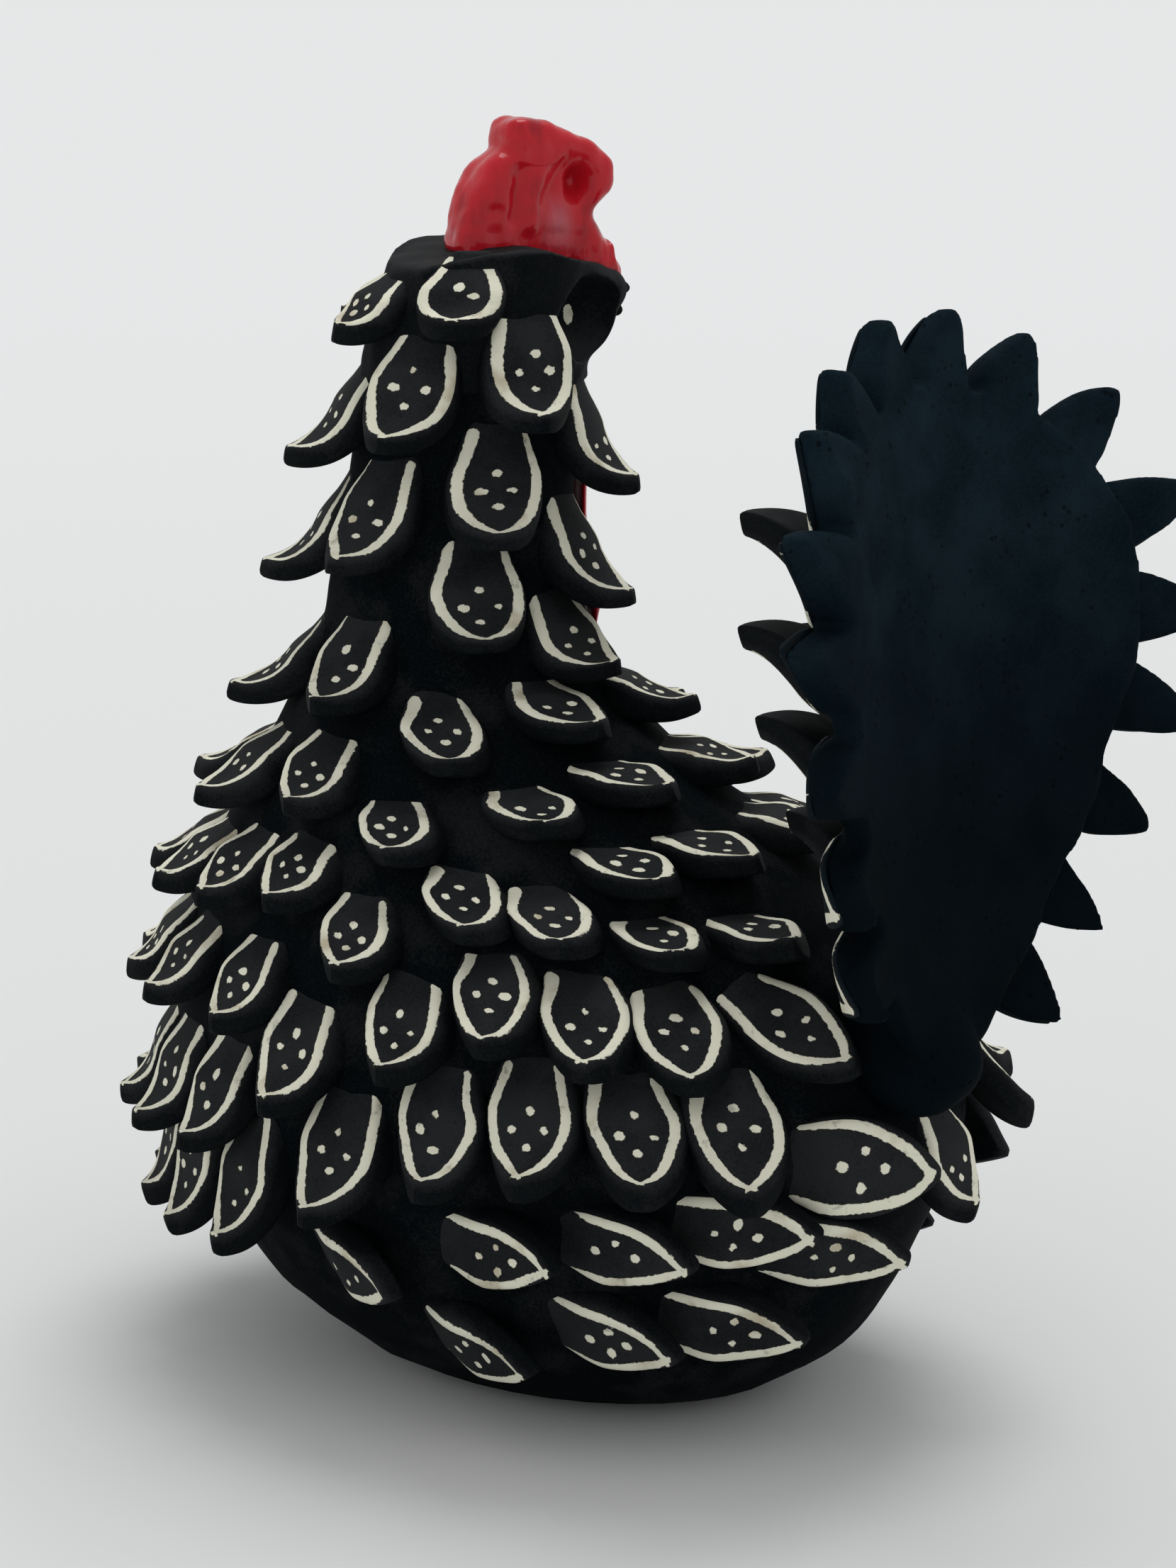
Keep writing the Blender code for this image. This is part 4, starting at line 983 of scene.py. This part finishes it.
def painted_leaf(across, along, length, width, arms, chance, look):
    """Distance in mm outside the painted outline and dots of one leaf."""
    across, along = across / MM, along / MM
    half = width / 2
    line, dot = look.line_width / MM, look.dot_width / MM
    best = np.full(across.shape, FAR_AWAY)
    lean = chance.uniform(-0.05, 0.05)
    for sign in (-1, 1):
        start, lean_in = chance.uniform(0.08, 0.16), chance.uniform(*arms)
        shares = ((lean_in, start), (0.45 * lean_in + 0.40, start + 0.13), (0.76, 0.43),
                  (0.61, 0.62), (0.30, 0.82), (-0.04, 0.955 + chance.uniform(0.0, 0.015)))
        points = [((sign * (x + chance.uniform(-0.04, 0.03)) + lean * (y < 0.8)) * half / MM,
                   (y + chance.uniform(-0.012, 0.012)) * length / MM) for x, y in shares]
        blob = chance.uniform(1.0, 1.75) if sign < 0 else chance.uniform(0.8, 1.3)
        widths = [line * share for share in (blob, 0.5 + blob / 2, 1.04, 0.98, 0.92, 0.66)]
        curve = smooth_line([(*point, wide) for point, wide in zip(points, widths)])
        best = np.minimum(best, stroke_distance(across, along, curve))
    middle, tall, broad = chance.uniform(0.46, 0.56), length * 0.125, half * 0.31
    for x, y in ((0, -1), (-1, 0), (1, 0), (0, 1)):
        if chance.random() < MISSED_DOT:
            continue
        centre_x = (lean * half + x * broad + chance.uniform(-0.2, 0.2) * MM) / MM
        centre_y = (middle * length + y * tall + chance.uniform(-0.3, 0.3) * MM) / MM
        wide = dot * chance.uniform(0.75, 1.18)
        oval = chance.uniform(0.85, 1.2)
        away = np.hypot((across - centre_x) * oval, (along - centre_y) / oval)
        best = np.minimum(best, away - wide / 2)
    return best


def lay_leaf(leaf, place, slot, size, curls, arms, chance, look, form):
    """Copy of the flat leaf, resized, painted, bent and laid in its place."""
    length, width, thickness = size
    root_curl, tip_curl = curls
    rough = look.unevenness
    length *= 1 + chance.uniform(-rough, rough * 0.6)
    width *= 1 + chance.uniform(-rough, rough * 0.6)
    tip_curl *= 1 + chance.uniform(-0.08, 0.02)
    roll, swing = chance.uniform(-0.05, 0.05), chance.uniform(-0.05, 0.05)
    flat = points_of(leaf)
    share = flat[:, 1] / LEAF_LENGTH
    share = np.where(share < 0, share * form.heel, share)
    behind = form.heel * LEAF_HEEL / LEAF_LENGTH * length
    across = flat[:, 0] * width / LEAF_WIDTH
    if form.full:
        across = across * petal_fullness(share)
    # Paint on the upper face only, drawn a little wider on a petal
    level = flat[:, 2] / LEAF_THICKNESS
    paint = painted_leaf(across * (0.86 if form.full else 1.0), share * length + behind,
                         length + behind, width, arms, chance, look)
    paint = np.where(level > (0.45 if form.full else 0.75), paint, UNPAINTED)
    # Depth of clay: the root comes out of the body and the tip is thinner
    along, lift, heading = spine(share, length, root_curl, tip_curl)
    ahead = np.clip(share, 0.0, 1.0)
    emerge = np.clip((share + 0.30 * form.heel) / 0.52, 0.0, 1.0)
    top = thickness * (emerge * emerge * (3 - 2 * emerge)) - form.sink * (1 - emerge)
    depth = look.tip_thickness + (look.root_thickness - look.tip_thickness) * (1 - ahead) ** 1.25
    off = top - (1 - level) * depth * form.bulk
    across = across * (1 + 0.20 * form.bulk * (1 - level))
    # Turned-up edges, lumps and a slight roll, which a petal doesn't have
    wave_a, wave_b = chance.uniform(0, WAVE_START), chance.uniform(0, WAVE_START)
    lump = 0.00018 * (np.sin(across * 700 + wave_a) * np.sin(share * 9 + wave_b))
    edge = np.abs(across) / (width / 2)
    if not form.full:
        lift = lift + (look.cup * edge ** 1.6 + lump) * ahead + roll * across
    places = place(slot, along - np.sin(heading) * off, across + swing * ahead * length,
                   np.maximum(CLEAR + lift + np.cos(heading) * off, form.low))
    copy = copy_of(leaf)
    move_points(copy, places)
    set_field(copy, "slip_distance", paint)
    # Painted light: the leaf's upper face is made lighter in colour, where it would catch the
    # light
    set_field(copy, "painted_light", np.clip((level - 0.55) / 0.4, 0.0, 1.0))
    return copy


def lay_row(node, name, material, place, leaves, size, root_curl, seed, form=LeafForm()):
    """One row as one piece, for leaves given as (slot, curl of the tip, arms)."""
    look = bpy.context.scene.hen_feathers
    chance = random.Random(look.seed * 1000 + seed)
    row = join([lay_leaf(bpy.data.objects["leaf"], place, slot, size, (root_curl, tip_curl),
                         arms, chance, look, form) for slot, tip_curl, arms in leaves])
    finish(row, name, material, node)


def mirrored(feathers):
    """Feathers of the left side with their copies on the right."""
    both = [(angle, level, sweep[0] if sweep else 0) for angle, level, *sweep in feathers]
    both += [(180 - angle, level, -sweep * RIGHT_SWEEP_SHARE)
             for angle, level, sweep in both if angle != -90]
    return sorted(both)


def lay_ring_rows(rows, seed, heel, broad):
    """Feather rows that ring the neck or the body, their leaves made broader by a factor."""
    look = bpy.context.scene.hen_feathers
    for index, (name, base, length, width, mirror, feathers) in enumerate(rows):
        leaves = []
        for degrees, level, turn in (mirrored(feathers) if mirror
                                     else [(*feather, 0) for feather in feathers]):
            angle, sweep, swept = math.radians(degrees), math.radians(turn), abs(turn) / 90
            tip = base + level * MM
            curl = between(slope_curl(angle, tip, look.tip_curl), SWEPT_CURL, swept)
            arms = [between(*ends, swept) for ends in zip(PLAIN_ARMS, SWEPT_ARMS)]
            reach = float(spine(np.array(1.0), length, look.root_curl, curl)[0])
            root = float(climb(angle, tip, reach * math.cos(sweep)))
            leaves.append(((angle, root, sweep), curl, arms))
        lay_row(name, name.replace("_row_", "s_"), "Painted clay", body_place, leaves,
                (length, width * broad, look.thickness), look.root_curl, seed + index,
                LeafForm(heel=heel))


# Operators, one for each piece or group of pieces

class OBJECT_OT_hen_body(Operator):
    """Throw the hollow body from the foot to the top of the neck"""
    bl_idname = "object.hen_body"
    bl_label = "Body"

    def execute(self, context):
        start_clean()
        bottom, top = FOOT_THICKNESS + CLEAR, NECK_TOP + HEAD_OVERLAP
        half_x, half_y, centre = section_sizes(bottom)
        bpy.ops.mesh.primitive_circle_add(vertices=BODY_SIDES, radius=1.0, fill_type="NGON",
                                          location=(0, centre, bottom))
        body = bpy.context.object
        body.scale = (half_x, half_y, 1.0)
        apply_all(body)
        edit_all(body)
        bpy.ops.mesh.inset(thickness=FOOT_INSET)
        bm = bmesh.from_edit_mesh(body.data)
        for face in bm.faces:
            face.select = False
        for edge in bm.edges:
            if edge.is_boundary:
                edge.select = True
        bmesh.update_edit_mesh(body.data)
        bpy.ops.mesh.select_mode(type="EDGE")
        for ring in range(1, BODY_RINGS + 1):
            height = bottom + (top - bottom) * ring / BODY_RINGS
            new_x, new_y, new_centre = section_sizes(height)
            bpy.ops.mesh.extrude_region_move(TRANSFORM_OT_translate={
                "value": (0, new_centre - centre, (top - bottom) / BODY_RINGS)})
            bpy.ops.transform.resize(value=(new_x / half_x, new_y / half_y, 1.0),
                                     center_override=(0, new_centre, height))
            half_x, half_y, centre = new_x, new_y, new_centre
        bpy.ops.mesh.edge_face_add()
        bpy.ops.object.mode_set(mode="OBJECT")
        dent(body, size=0.022, depth=0.00035, seed=3)
        places = points_of(body)
        places[:, 2] = np.maximum(places[:, 2], bottom)
        move_points(body, places)
        finish(body, "hollow_body", "Body clay", "bowl_shell", "back_shell", "neck_shell")
        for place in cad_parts["foot_plate"].material_slots:
            place.material = bpy.data.materials["Foot clay"]
        return {"FINISHED"}


def head_run(ahead, near, up):
    """Run ahead of the face, to its near side and up."""
    return FACING * ahead + NEAR_SIDE * near + UPRIGHT * up


def head_point(ahead, near, height):
    """Place ahead of the head's axis, to its near side and above the ground."""
    return HEAD_AXIS + FACING * ahead + NEAR_SIDE * near + UPRIGHT * height


def comb_point(ahead, near, rise):
    """Place ahead of the head's axis, to its near side and above the crown."""
    return head_point(ahead, near, CROWN_HEIGHT + rise)


def add_ball(centre, radii, rings=18):
    """Oval ball at its place, with its size and turn still to be applied."""
    start_clean()
    bpy.ops.mesh.primitive_uv_sphere_add(segments=32, ring_count=rings, radius=1.0,
                                         location=tuple(float(v) for v in centre))
    ball = bpy.context.object
    ball.scale = radii
    return ball


def add_head_ball(place, radii):
    """Oval ball of the head, turned as the face is."""
    ball = add_ball(head_point(*place), radii)
    ball.rotation_euler = (0, 0, FACE_TURN)
    return apply_all(ball)


def cut_with(item, tool):
    """Cut one shape out of another and remove the tool."""
    cut = item.modifiers.new("Cut", "BOOLEAN")
    cut.operation = "DIFFERENCE"
    cut.solver = "EXACT"
    cut.object = tool
    apply_all(item)
    bpy.data.objects.remove(tool, do_unlink=True)


class OBJECT_OT_hen_head(Operator):
    """Model the head with its brow, the hollow of the face and the painted eye"""
    bl_idname = "object.hen_head"
    bl_label = "Head"

    def execute(self, context):
        start_clean()
        bpy.ops.mesh.primitive_cylinder_add(
            vertices=CROWN_SIDES, radius=CROWN_WIDTH / 2 + CROWN_SKIN, depth=HEAD_HEIGHT,
            location=(0, CROWN_CENTRE, NECK_TOP + HEAD_HEIGHT / 2 + CLEAR))
        head = apply_all(bpy.context.object)
        places = points_of(head)
        low = places[:, 2] < NECK_TOP + HEAD_HEIGHT / 2
        half_x, half_y, centre = section_sizes(NECK_TOP)
        places[low, 0] *= half_x / (CROWN_WIDTH / 2)
        places[low, 1] = (places[low, 1] - CROWN_CENTRE) * half_y / (CROWN_WIDTH / 2) + centre
        back = -(places - HEAD_AXIS) @ FACING
        drop = np.clip((back - RIM_START) / RIM_RUN, 0.0, 1.0) ** 1.5
        places[:, 2] -= RIM_DROP * ~low * drop
        move_points(head, places)
        face = add_head_ball((FACE_REACH, 0.0, FACE_LEVEL), FACE_SIZE)
        remesh(join([head, face, add_head_ball(*BROW)]), voxel=0.0006, smoothing=5)
        start_clean()
        slope = FACING * math.sin(CUT_SLOPE) + UPRIGHT * math.cos(CUT_SLOPE)
        middle = head_point(*CUT_PLACE) + slope * CUTTER / 2
        bpy.ops.mesh.primitive_cube_add(size=CUTTER, location=tuple(middle),
                                        rotation=(0, CUT_SLOPE, FACE_TURN))
        cut_with(head, apply_all(bpy.context.object))
        cut_with(head, add_head_ball(*NEAR_HOLLOW))
        cut_with(head, add_head_ball(*FAR_HOLLOW))
        remesh(head, voxel=0.0004, smoothing=6)
        eye, radii = EYE
        near = (points_of(head) - head_point(*eye)) @ np.array([FACING, NEAR_SIDE, UPRIGHT]).T
        set_field(head, "slip_distance", 0.8 * (np.linalg.norm(near / radii, axis=1) - 1.0))
        # Painted light: faces that look upwards are made lighter in colour
        set_field(head, "painted_light", np.clip((normals_of(head)[:, 2] - 0.1) / 0.7, 0.0, 1.0))
        dent(head, size=0.009, depth=0.00020, seed=9)
        finish(head, "smooth_head", "Painted head clay", "head")
        return {"FINISHED"}


class OBJECT_OT_hen_beak(Operator):
    """Pinch the two halves of the beak"""
    bl_idname = "object.hen_beak"
    bl_label = "Beak"

    def execute(self, context):
        for node, height, length, width, turn in BEAK_HALVES:
            start_clean()
            bpy.ops.mesh.primitive_cone_add(vertices=24, radius1=width / 2,
                                            radius2=width * BEAK_POINT, depth=length)
            cone = bpy.context.object
            edit_all(cone)
            bpy.ops.transform.rotate(value=math.radians(-90), orient_axis="Y",
                                     center_override=(0, 0, 0))
            bpy.ops.transform.resize(value=(1, 1, BEAK_FLATNESS), center_override=(0, 0, 0))
            bpy.ops.object.mode_set(mode="OBJECT")
            ahead = FACE_REACH + FACE_SIZE[0] + CLEAR + length / 2
            cone.location = head_point(ahead, 0.0, height)
            cone.rotation_euler = (0, 0, FACE_TURN + turn)
            soft = cone.modifiers.new("Round", "BEVEL")
            soft.width, soft.segments = BEAK_ROUNDING, 4
            apply_all(cone)
            finish(cone, f"pinched_{node}", "Head clay", node)
        return {"FINISHED"}


class OBJECT_OT_hen_wattles(Operator):
    """Hang the two glazed wattles in front of the neck"""
    bl_idname = "object.hen_wattles"
    bl_label = "Wattles"

    def execute(self, context):
        thickness, width, length = WATTLE_SIZE
        for node, sign in (("wattle_left", -1), ("wattle_right", 1)):
            radii = (thickness / 2, width / 2, length / 2)
            drop = apply_all(add_ball((0, 0, 0), radii, rings=28))
            places = points_of(drop)
            share = places[:, 2] / (length / 2)
            side = places[:, 1] * (1.0 - WATTLE_TAPER * share) + sign * WATTLE_SPREAD
            height = WATTLE_TOP - length / 2 + places[:, 2]
            thin = np.clip(np.minimum((0.2 - share) / 0.6, (share + 1.05) / 0.45), 0.3, 1.0)
            lift = CLEAR * 2 + (thickness / 2 + places[:, 0]) * thin
            move_points(drop, body_point(go_round(FACE_TURN, height, side), height, lift))
            finish(drop, f"glazed_{node}", "Red glaze", node)
        return {"FINISHED"}


class OBJECT_OT_hen_comb(Operator):
    """Fold the glazed comb on the crown"""
    bl_idname = "object.hen_comb"
    bl_label = "Comb"

    def execute(self, context):
        half = COMB_THICKNESS / 2 - COMB_EDGE
        start_clean()
        bpy.ops.mesh.primitive_circle_add(vertices=len(COMB_OUTLINE), fill_type="NGON")
        comb = bpy.context.object
        edit_all(comb)
        bm = bmesh.from_edit_mesh(comb.data)
        bm.verts.ensure_lookup_table()
        base = CROWN_HEIGHT + CLEAR + COMB_EDGE
        for vert, (ahead, rise) in zip(bm.verts, COMB_OUTLINE):
            vert.co = Vector(head_point(ahead, half, base + rise))
        bmesh.update_edit_mesh(comb.data)
        bpy.ops.mesh.extrude_region_move(TRANSFORM_OT_translate={
            "value": tuple(float(v) for v in -NEAR_SIDE * half * 2)})
        turn_faces_out()
        remesh(comb, voxel=0.0006, smoothing=0)
        move_points(comb, points_of(comb) + normals_of(comb) * COMB_SWELL)
        remesh(comb, voxel=0.0005, smoothing=6)

        place, reach, move = COMB_FOLD
        push(comb, comb_point(*place), reach, head_run(*move))
        for start, end, reach, move in COMB_CREASES:
            crease(comb, comb_point(*start), comb_point(*end), reach, head_run(*move))
        for place, reach, move in COMB_NOTCHES:
            push(comb, comb_point(*place), reach, head_run(*move))
        places = points_of(comb)
        away = (places - HEAD_AXIS) @ FACING
        fade = np.clip((CROWN_HEIGHT + RAGGED_END - places[:, 2]) / RAGGED_FADE, 0.0, 1.0)
        waves = np.sin(away * 1700) + 0.6 * np.sin(away * 3900 + 1)
        places[:, 2] += fade * RAGGED_DEPTH * waves
        move_points(comb, places)
        dent(comb, size=0.0065, depth=0.00018, seed=5)
        # Painted highlight: a pale patch on the comb's near side
        pale, reach = COMB_HIGHLIGHT
        near = np.linalg.norm((points_of(comb) - comb_point(*pale)) / reach, axis=1)
        set_field(comb, "painted_light", np.exp(-near ** 2))
        finish(comb, "glazed_comb", "Red glaze", "comb")
        return {"FINISHED"}


class OBJECT_OT_hen_leaf(Operator):
    """Model the flat leaf that every feather is copied from"""
    bl_idname = "object.hen_leaf"
    bl_label = "Leaf"

    def execute(self, context):
        model_leaf()
        return {"FINISHED"}


class OBJECT_OT_hen_neck_feathers(Operator):
    """Lay the rows of painted feathers round the neck"""
    bl_idname = "object.hen_neck_feathers"
    bl_label = "Neck feathers"

    def execute(self, context):
        lay_ring_rows(NECK_ROWS[:1], seed=10, heel=0.78, broad=1.08)
        lay_ring_rows(NECK_ROWS[1:], seed=11, heel=0.9, broad=1.08)
        return {"FINISHED"}


class OBJECT_OT_hen_body_feathers(Operator):
    """Lay the rows of painted feathers round the body"""
    bl_idname = "object.hen_body_feathers"
    bl_label = "Body feathers"

    def execute(self, context):
        lay_ring_rows(BODY_ROWS, seed=20, heel=0.75, broad=1.15)
        return {"FINISHED"}


class OBJECT_OT_hen_flank_feathers(Operator):
    """Lay the swept feathers on both flanks and the one under the tail"""
    bl_idname = "object.hen_flank_feathers"
    bl_label = "Flank feathers"

    def execute(self, context):
        look = context.scene.hen_feathers
        for index, (name, base, length, curl, sweep, feathers) in enumerate(FLANK_ROWS):
            arms, heel = (SWEPT_ARMS, 0.55) if sweep else (PLAIN_ARMS, 0.45)
            for side, mirror in (("left", False), ("right", True)):
                leaves = [((math.radians(180 - angle if mirror else angle), base + level * MM,
                            math.radians(-sweep if mirror else sweep)),
                           math.radians(curl), arms)
                          for angle, level in (feathers[:-1] if mirror else feathers)]
                lay_row(f"{name}_{side}", f"{name.replace('_row_', 's_')}_{side}",
                        "Painted clay", body_place, leaves,
                        (length, FLANK_WIDTH, look.thickness), look.root_curl,
                        40 + index * 2 + mirror, LeafForm(heel=heel))
        lay_row("rump_feather", "rump_leaf", "Painted clay", body_place,
                [((RUMP_ANGLE, RUMP_ROOT, 0.0), look.tip_curl, PLAIN_ARMS)],
                (RUMP_LENGTH, FLANK_WIDTH, look.thickness), look.root_curl, 50)
        return {"FINISHED"}


class OBJECT_OT_hen_tail_scoop(Operator):
    """Model the pitted scoop of the tail with its root and the feet of its petals"""
    bl_idname = "object.hen_tail_scoop"
    bl_label = "Tail scoop"

    def execute(self, context):
        start_clean()
        bpy.ops.mesh.primitive_circle_add(vertices=SCOOP_SIDES, radius=1.0,
                                          fill_type="NOTHING")
        scoop = bpy.context.object
        edit_all(scoop)
        for ring in range(SCOOP_RINGS, 1, -1):
            bpy.ops.mesh.extrude_region_move()
            shrink = (ring - 1) / ring
            bpy.ops.transform.resize(value=(shrink, shrink, 1), center_override=(0, 0, 0))
        bpy.ops.mesh.edge_face_add()
        bpy.ops.object.mode_set(mode="OBJECT")
        flat = points_of(scoop)
        share = np.hypot(flat[:, 0], flat[:, 1])
        side, up = tail_rim(np.arctan2(flat[:, 0], flat[:, 1]))
        move_points(scoop, tail_point(side * share, up * share, -TAIL_THICKNESS / 2))
        wall = scoop.modifiers.new("Wall", "SOLIDIFY")
        wall.thickness, wall.offset = TAIL_THICKNESS, 0.0
        apply_all(scoop)
        lump = apply_all(add_ball(TAIL_ROOT_PLACE, TAIL_ROOT_SIZE))
        feet = [self.petal_foot(petal_angle(index)) for index in range(PETAL_COUNT)]
        remesh(join([scoop, lump, *feet]), voxel=0.0007, smoothing=4)
        dent(scoop, size=0.018, depth=0.0004, seed=6)
        finish(scoop, "tail_scoop", "Scoop clay", "tail_plate", "tail_root")
        return {"FINISHED"}

    def petal_foot(self, psi):
        """Foot of a petal in the rim, at the front on the hen's right and else to the rear."""
        length, width, thickness = PETAL_SIZE
        longer, broader, deeper = PETAL_FOOT
        foot = copy_of(bpy.data.objects["leaf"])
        flat = points_of(foot)
        along = flat[:, 1] * length * longer / LEAF_LENGTH
        share = np.clip(along / length, 0.0, 1.0)
        across = flat[:, 0] * width * broader / LEAF_WIDTH * petal_fullness(share)
        flush = min(max((psi - FOOT_START) / FOOT_RUN, 0.0), 1.0)
        behind = -TAIL_THICKNESS * flush * (1 - 0.55 * np.clip((share - 0.5) / 0.5, 0, 1))
        lift = behind + (thickness * deeper - behind) * (flat[:, 2] / LEAF_THICKNESS)
        move_points(foot, petal_place(psi, along, across, lift))
        return foot


class OBJECT_OT_hen_tail_petals(Operator):
    """Lay the pointed petals round the scoop, painted on the front"""
    bl_idname = "object.hen_tail_petals"
    bl_label = "Tail petals"

    def execute(self, context):
        for index in range(PETAL_COUNT):
            lay_row(f"tail_petal_{index + 1:02d}", f"painted_petal_{index + 1:02d}",
                    "Painted petal clay", petal_place,
                    [(petal_angle(index), 0.0, PLAIN_ARMS)], PETAL_SIZE, 0.0, 60 + index,
                    PETAL_FORM)
        return {"FINISHED"}


class OBJECT_OT_hen_tail_feathers(Operator):
    """Stand the rows of hooked feathers on the front of the tail"""
    bl_idname = "object.hen_tail_feathers"
    bl_label = "Tail feathers"

    def execute(self, context):
        root_curl, tip_curl = TAIL_CURLS
        for index, (name, level, count, width) in enumerate(TAIL_ROWS):
            shares = [step / (count - 1) - 0.5 for step in range(count)]
            leaves = [((share * width, level, share * 2 * TAIL_FAN), tip_curl, PLAIN_ARMS)
                      for share in shares]
            lay_row(name, name.replace("_row_", "s_"), "Painted clay", tail_row_place, leaves,
                    TAIL_FEATHER_SIZE, root_curl, 80 + index, TAIL_FORM)
        return {"FINISHED"}


class OBJECT_OT_hen_studio(Operator):
    """Set the pale floor, the soft light and the camera"""
    bl_idname = "object.hen_studio"
    bl_label = "Studio"

    def execute(self, context):
        scene = context.scene
        look = scene.hen_studio
        toward_camera = Vector((math.sin(CAMERA_TURN), -math.cos(CAMERA_TURN), 0))
        right = Vector((math.cos(CAMERA_TURN), math.sin(CAMERA_TURN), 0))
        self.lay_floor(look)
        self.fill_world(scene, look)
        self.hang_lamp(scene, look, toward_camera, right)
        self.set_camera(scene, toward_camera)
        scene.view_settings.view_transform = "Standard"
        return {"FINISHED"}

    def lay_floor(self, look):
        """Pale floor that turns into the backdrop's colour far out."""
        start_clean()
        bpy.ops.mesh.primitive_circle_add(vertices=FLOOR_SIDES, radius=FLOOR_RADIUS,
                                          fill_type="NGON", location=(0, 0, 0))
        floor = name_it(bpy.context.object, "floor")
        tree, shader = new_material("Pale floor")
        reach = add_node(tree, "ShaderNodeVectorMath", operation="LENGTH")
        feed(tree, reach, {0: object_place(tree)})
        far = spread(tree, reach.outputs["Value"], BACKDROP_RUN, (0.0, 1.0))
        feed(tree, shader, {"Base Color": blend_colours(tree, far, look.floor, look.backdrop),
                            "Roughness": 0.9, "Specular IOR Level": 0.1})
        floor.data.materials.append(bpy.data.materials["Pale floor"])

    def fill_world(self, scene, look):
        """Even light from all round, and the backdrop's colour where the camera looks."""
        scene.world = bpy.data.worlds.new("Studio")
        scene.world.use_nodes = True
        tree = scene.world.node_tree
        light = tree.nodes["Background"]
        feed(tree, light, {"Color": (1.0, 1.0, 1.0, 1.0), "Strength": look.fill})
        seen = add_node(tree, "ShaderNodeBackground")
        feed(tree, seen, {"Color": look.backdrop, "Strength": 1.0})
        path = add_node(tree, "ShaderNodeLightPath")
        mix = add_node(tree, "ShaderNodeMixShader")
        feed(tree, mix, {"Fac": path.outputs["Is Camera Ray"], 1: light.outputs["Background"],
                         2: seen.outputs["Background"]})
        feed(tree, tree.nodes["World Output"], {"Surface": mix.outputs["Shader"]})

    def hang_lamp(self, scene, look, toward_camera, right):
        """Soft lamp from above and a little behind the hen."""
        sun = bpy.data.lights.new("soft key", "SUN")
        sun.energy = look.key
        sun.angle = LAMP_SPREAD
        lamp = bpy.data.objects.new("soft key", sun)
        scene.collection.objects.link(lamp)
        lamp.location = (Vector((0, 0, 1.0)) - toward_camera * LAMP_LEAN_AWAY
                         + right * LAMP_LEAN_RIGHT)
        lamp.rotation_euler = lamp.location.to_track_quat("Z", "Y").to_euler()

    def set_camera(self, scene, toward_camera):
        """Camera of the photograph."""
        view = bpy.data.cameras.new("photo view")
        view.sensor_fit = "VERTICAL"
        view.sensor_height = SENSOR_HEIGHT
        view.lens = SENSOR_HEIGHT * PHOTO_FOCUS / PHOTO_HEIGHT
        view.clip_start = 0.01
        camera = bpy.data.objects.new("photo view", view)
        scene.collection.objects.link(camera)
        back = toward_camera * math.cos(CAMERA_RISE) + Vector((0, 0, math.sin(CAMERA_RISE)))
        camera.location = CAMERA_AIM + back * CAMERA_DISTANCE
        camera.rotation_euler = (-back).to_track_quat("-Z", "Y").to_euler()
        scene.camera = camera


PIECES = (OBJECT_OT_hen_leaf, OBJECT_OT_hen_body, OBJECT_OT_hen_head, OBJECT_OT_hen_beak,
          OBJECT_OT_hen_wattles, OBJECT_OT_hen_comb, OBJECT_OT_hen_neck_feathers,
          OBJECT_OT_hen_body_feathers, OBJECT_OT_hen_flank_feathers,
          OBJECT_OT_hen_tail_scoop, OBJECT_OT_hen_tail_petals, OBJECT_OT_hen_tail_feathers,
          OBJECT_OT_hen_studio)


class VIEW3D_PT_hen(Panel):
    """Pieces and looks of the hen"""
    bl_idname = "VIEW3D_PT_hen"
    bl_label = "Black clay hen"
    bl_space_type = "VIEW_3D"
    bl_region_type = "UI"
    bl_category = "Hen"

    def draw(self, context):
        for group in (context.scene.hen_feathers, context.scene.hen_clay,
                      context.scene.hen_studio):
            box = self.layout.box()
            for key in group.bl_rna.properties.keys():
                if key not in ("rna_type", "name"):
                    box.prop(group, key)
        for piece in PIECES:
            self.layout.operator(piece.bl_idname)


CLASSES = (HenFeatherLook, HenClayLook, HenStudioLook, *PIECES, VIEW3D_PT_hen)


def register():
    """Register the classes and the scene's settings."""
    for each in CLASSES:
        bpy.utils.register_class(each)
    bpy.types.Scene.hen_feathers = PointerProperty(type=HenFeatherLook)
    bpy.types.Scene.hen_clay = PointerProperty(type=HenClayLook)
    bpy.types.Scene.hen_studio = PointerProperty(type=HenStudioLook)


def unregister():
    """Remove the classes and the scene's settings."""
    del bpy.types.Scene.hen_studio, bpy.types.Scene.hen_clay, bpy.types.Scene.hen_feathers
    for each in reversed(CLASSES):
        bpy.utils.unregister_class(each)


def main():
    """Dress the hen."""
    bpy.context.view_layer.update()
    register()
    make_materials(bpy.context.scene.hen_clay)
    bpy.ops.object.hen_leaf()
    bpy.ops.object.hen_body()
    bpy.ops.object.hen_head()
    bpy.ops.object.hen_beak()
    bpy.ops.object.hen_wattles()
    bpy.ops.object.hen_comb()
    bpy.ops.object.hen_neck_feathers()
    bpy.ops.object.hen_body_feathers()
    bpy.ops.object.hen_flank_feathers()
    bpy.ops.object.hen_tail_scoop()
    bpy.ops.object.hen_tail_petals()
    bpy.ops.object.hen_tail_feathers()
    bpy.data.objects.remove(bpy.data.objects["leaf"], do_unlink=True)
    bpy.ops.object.hen_studio()


if __name__ == "__main__":
    main()
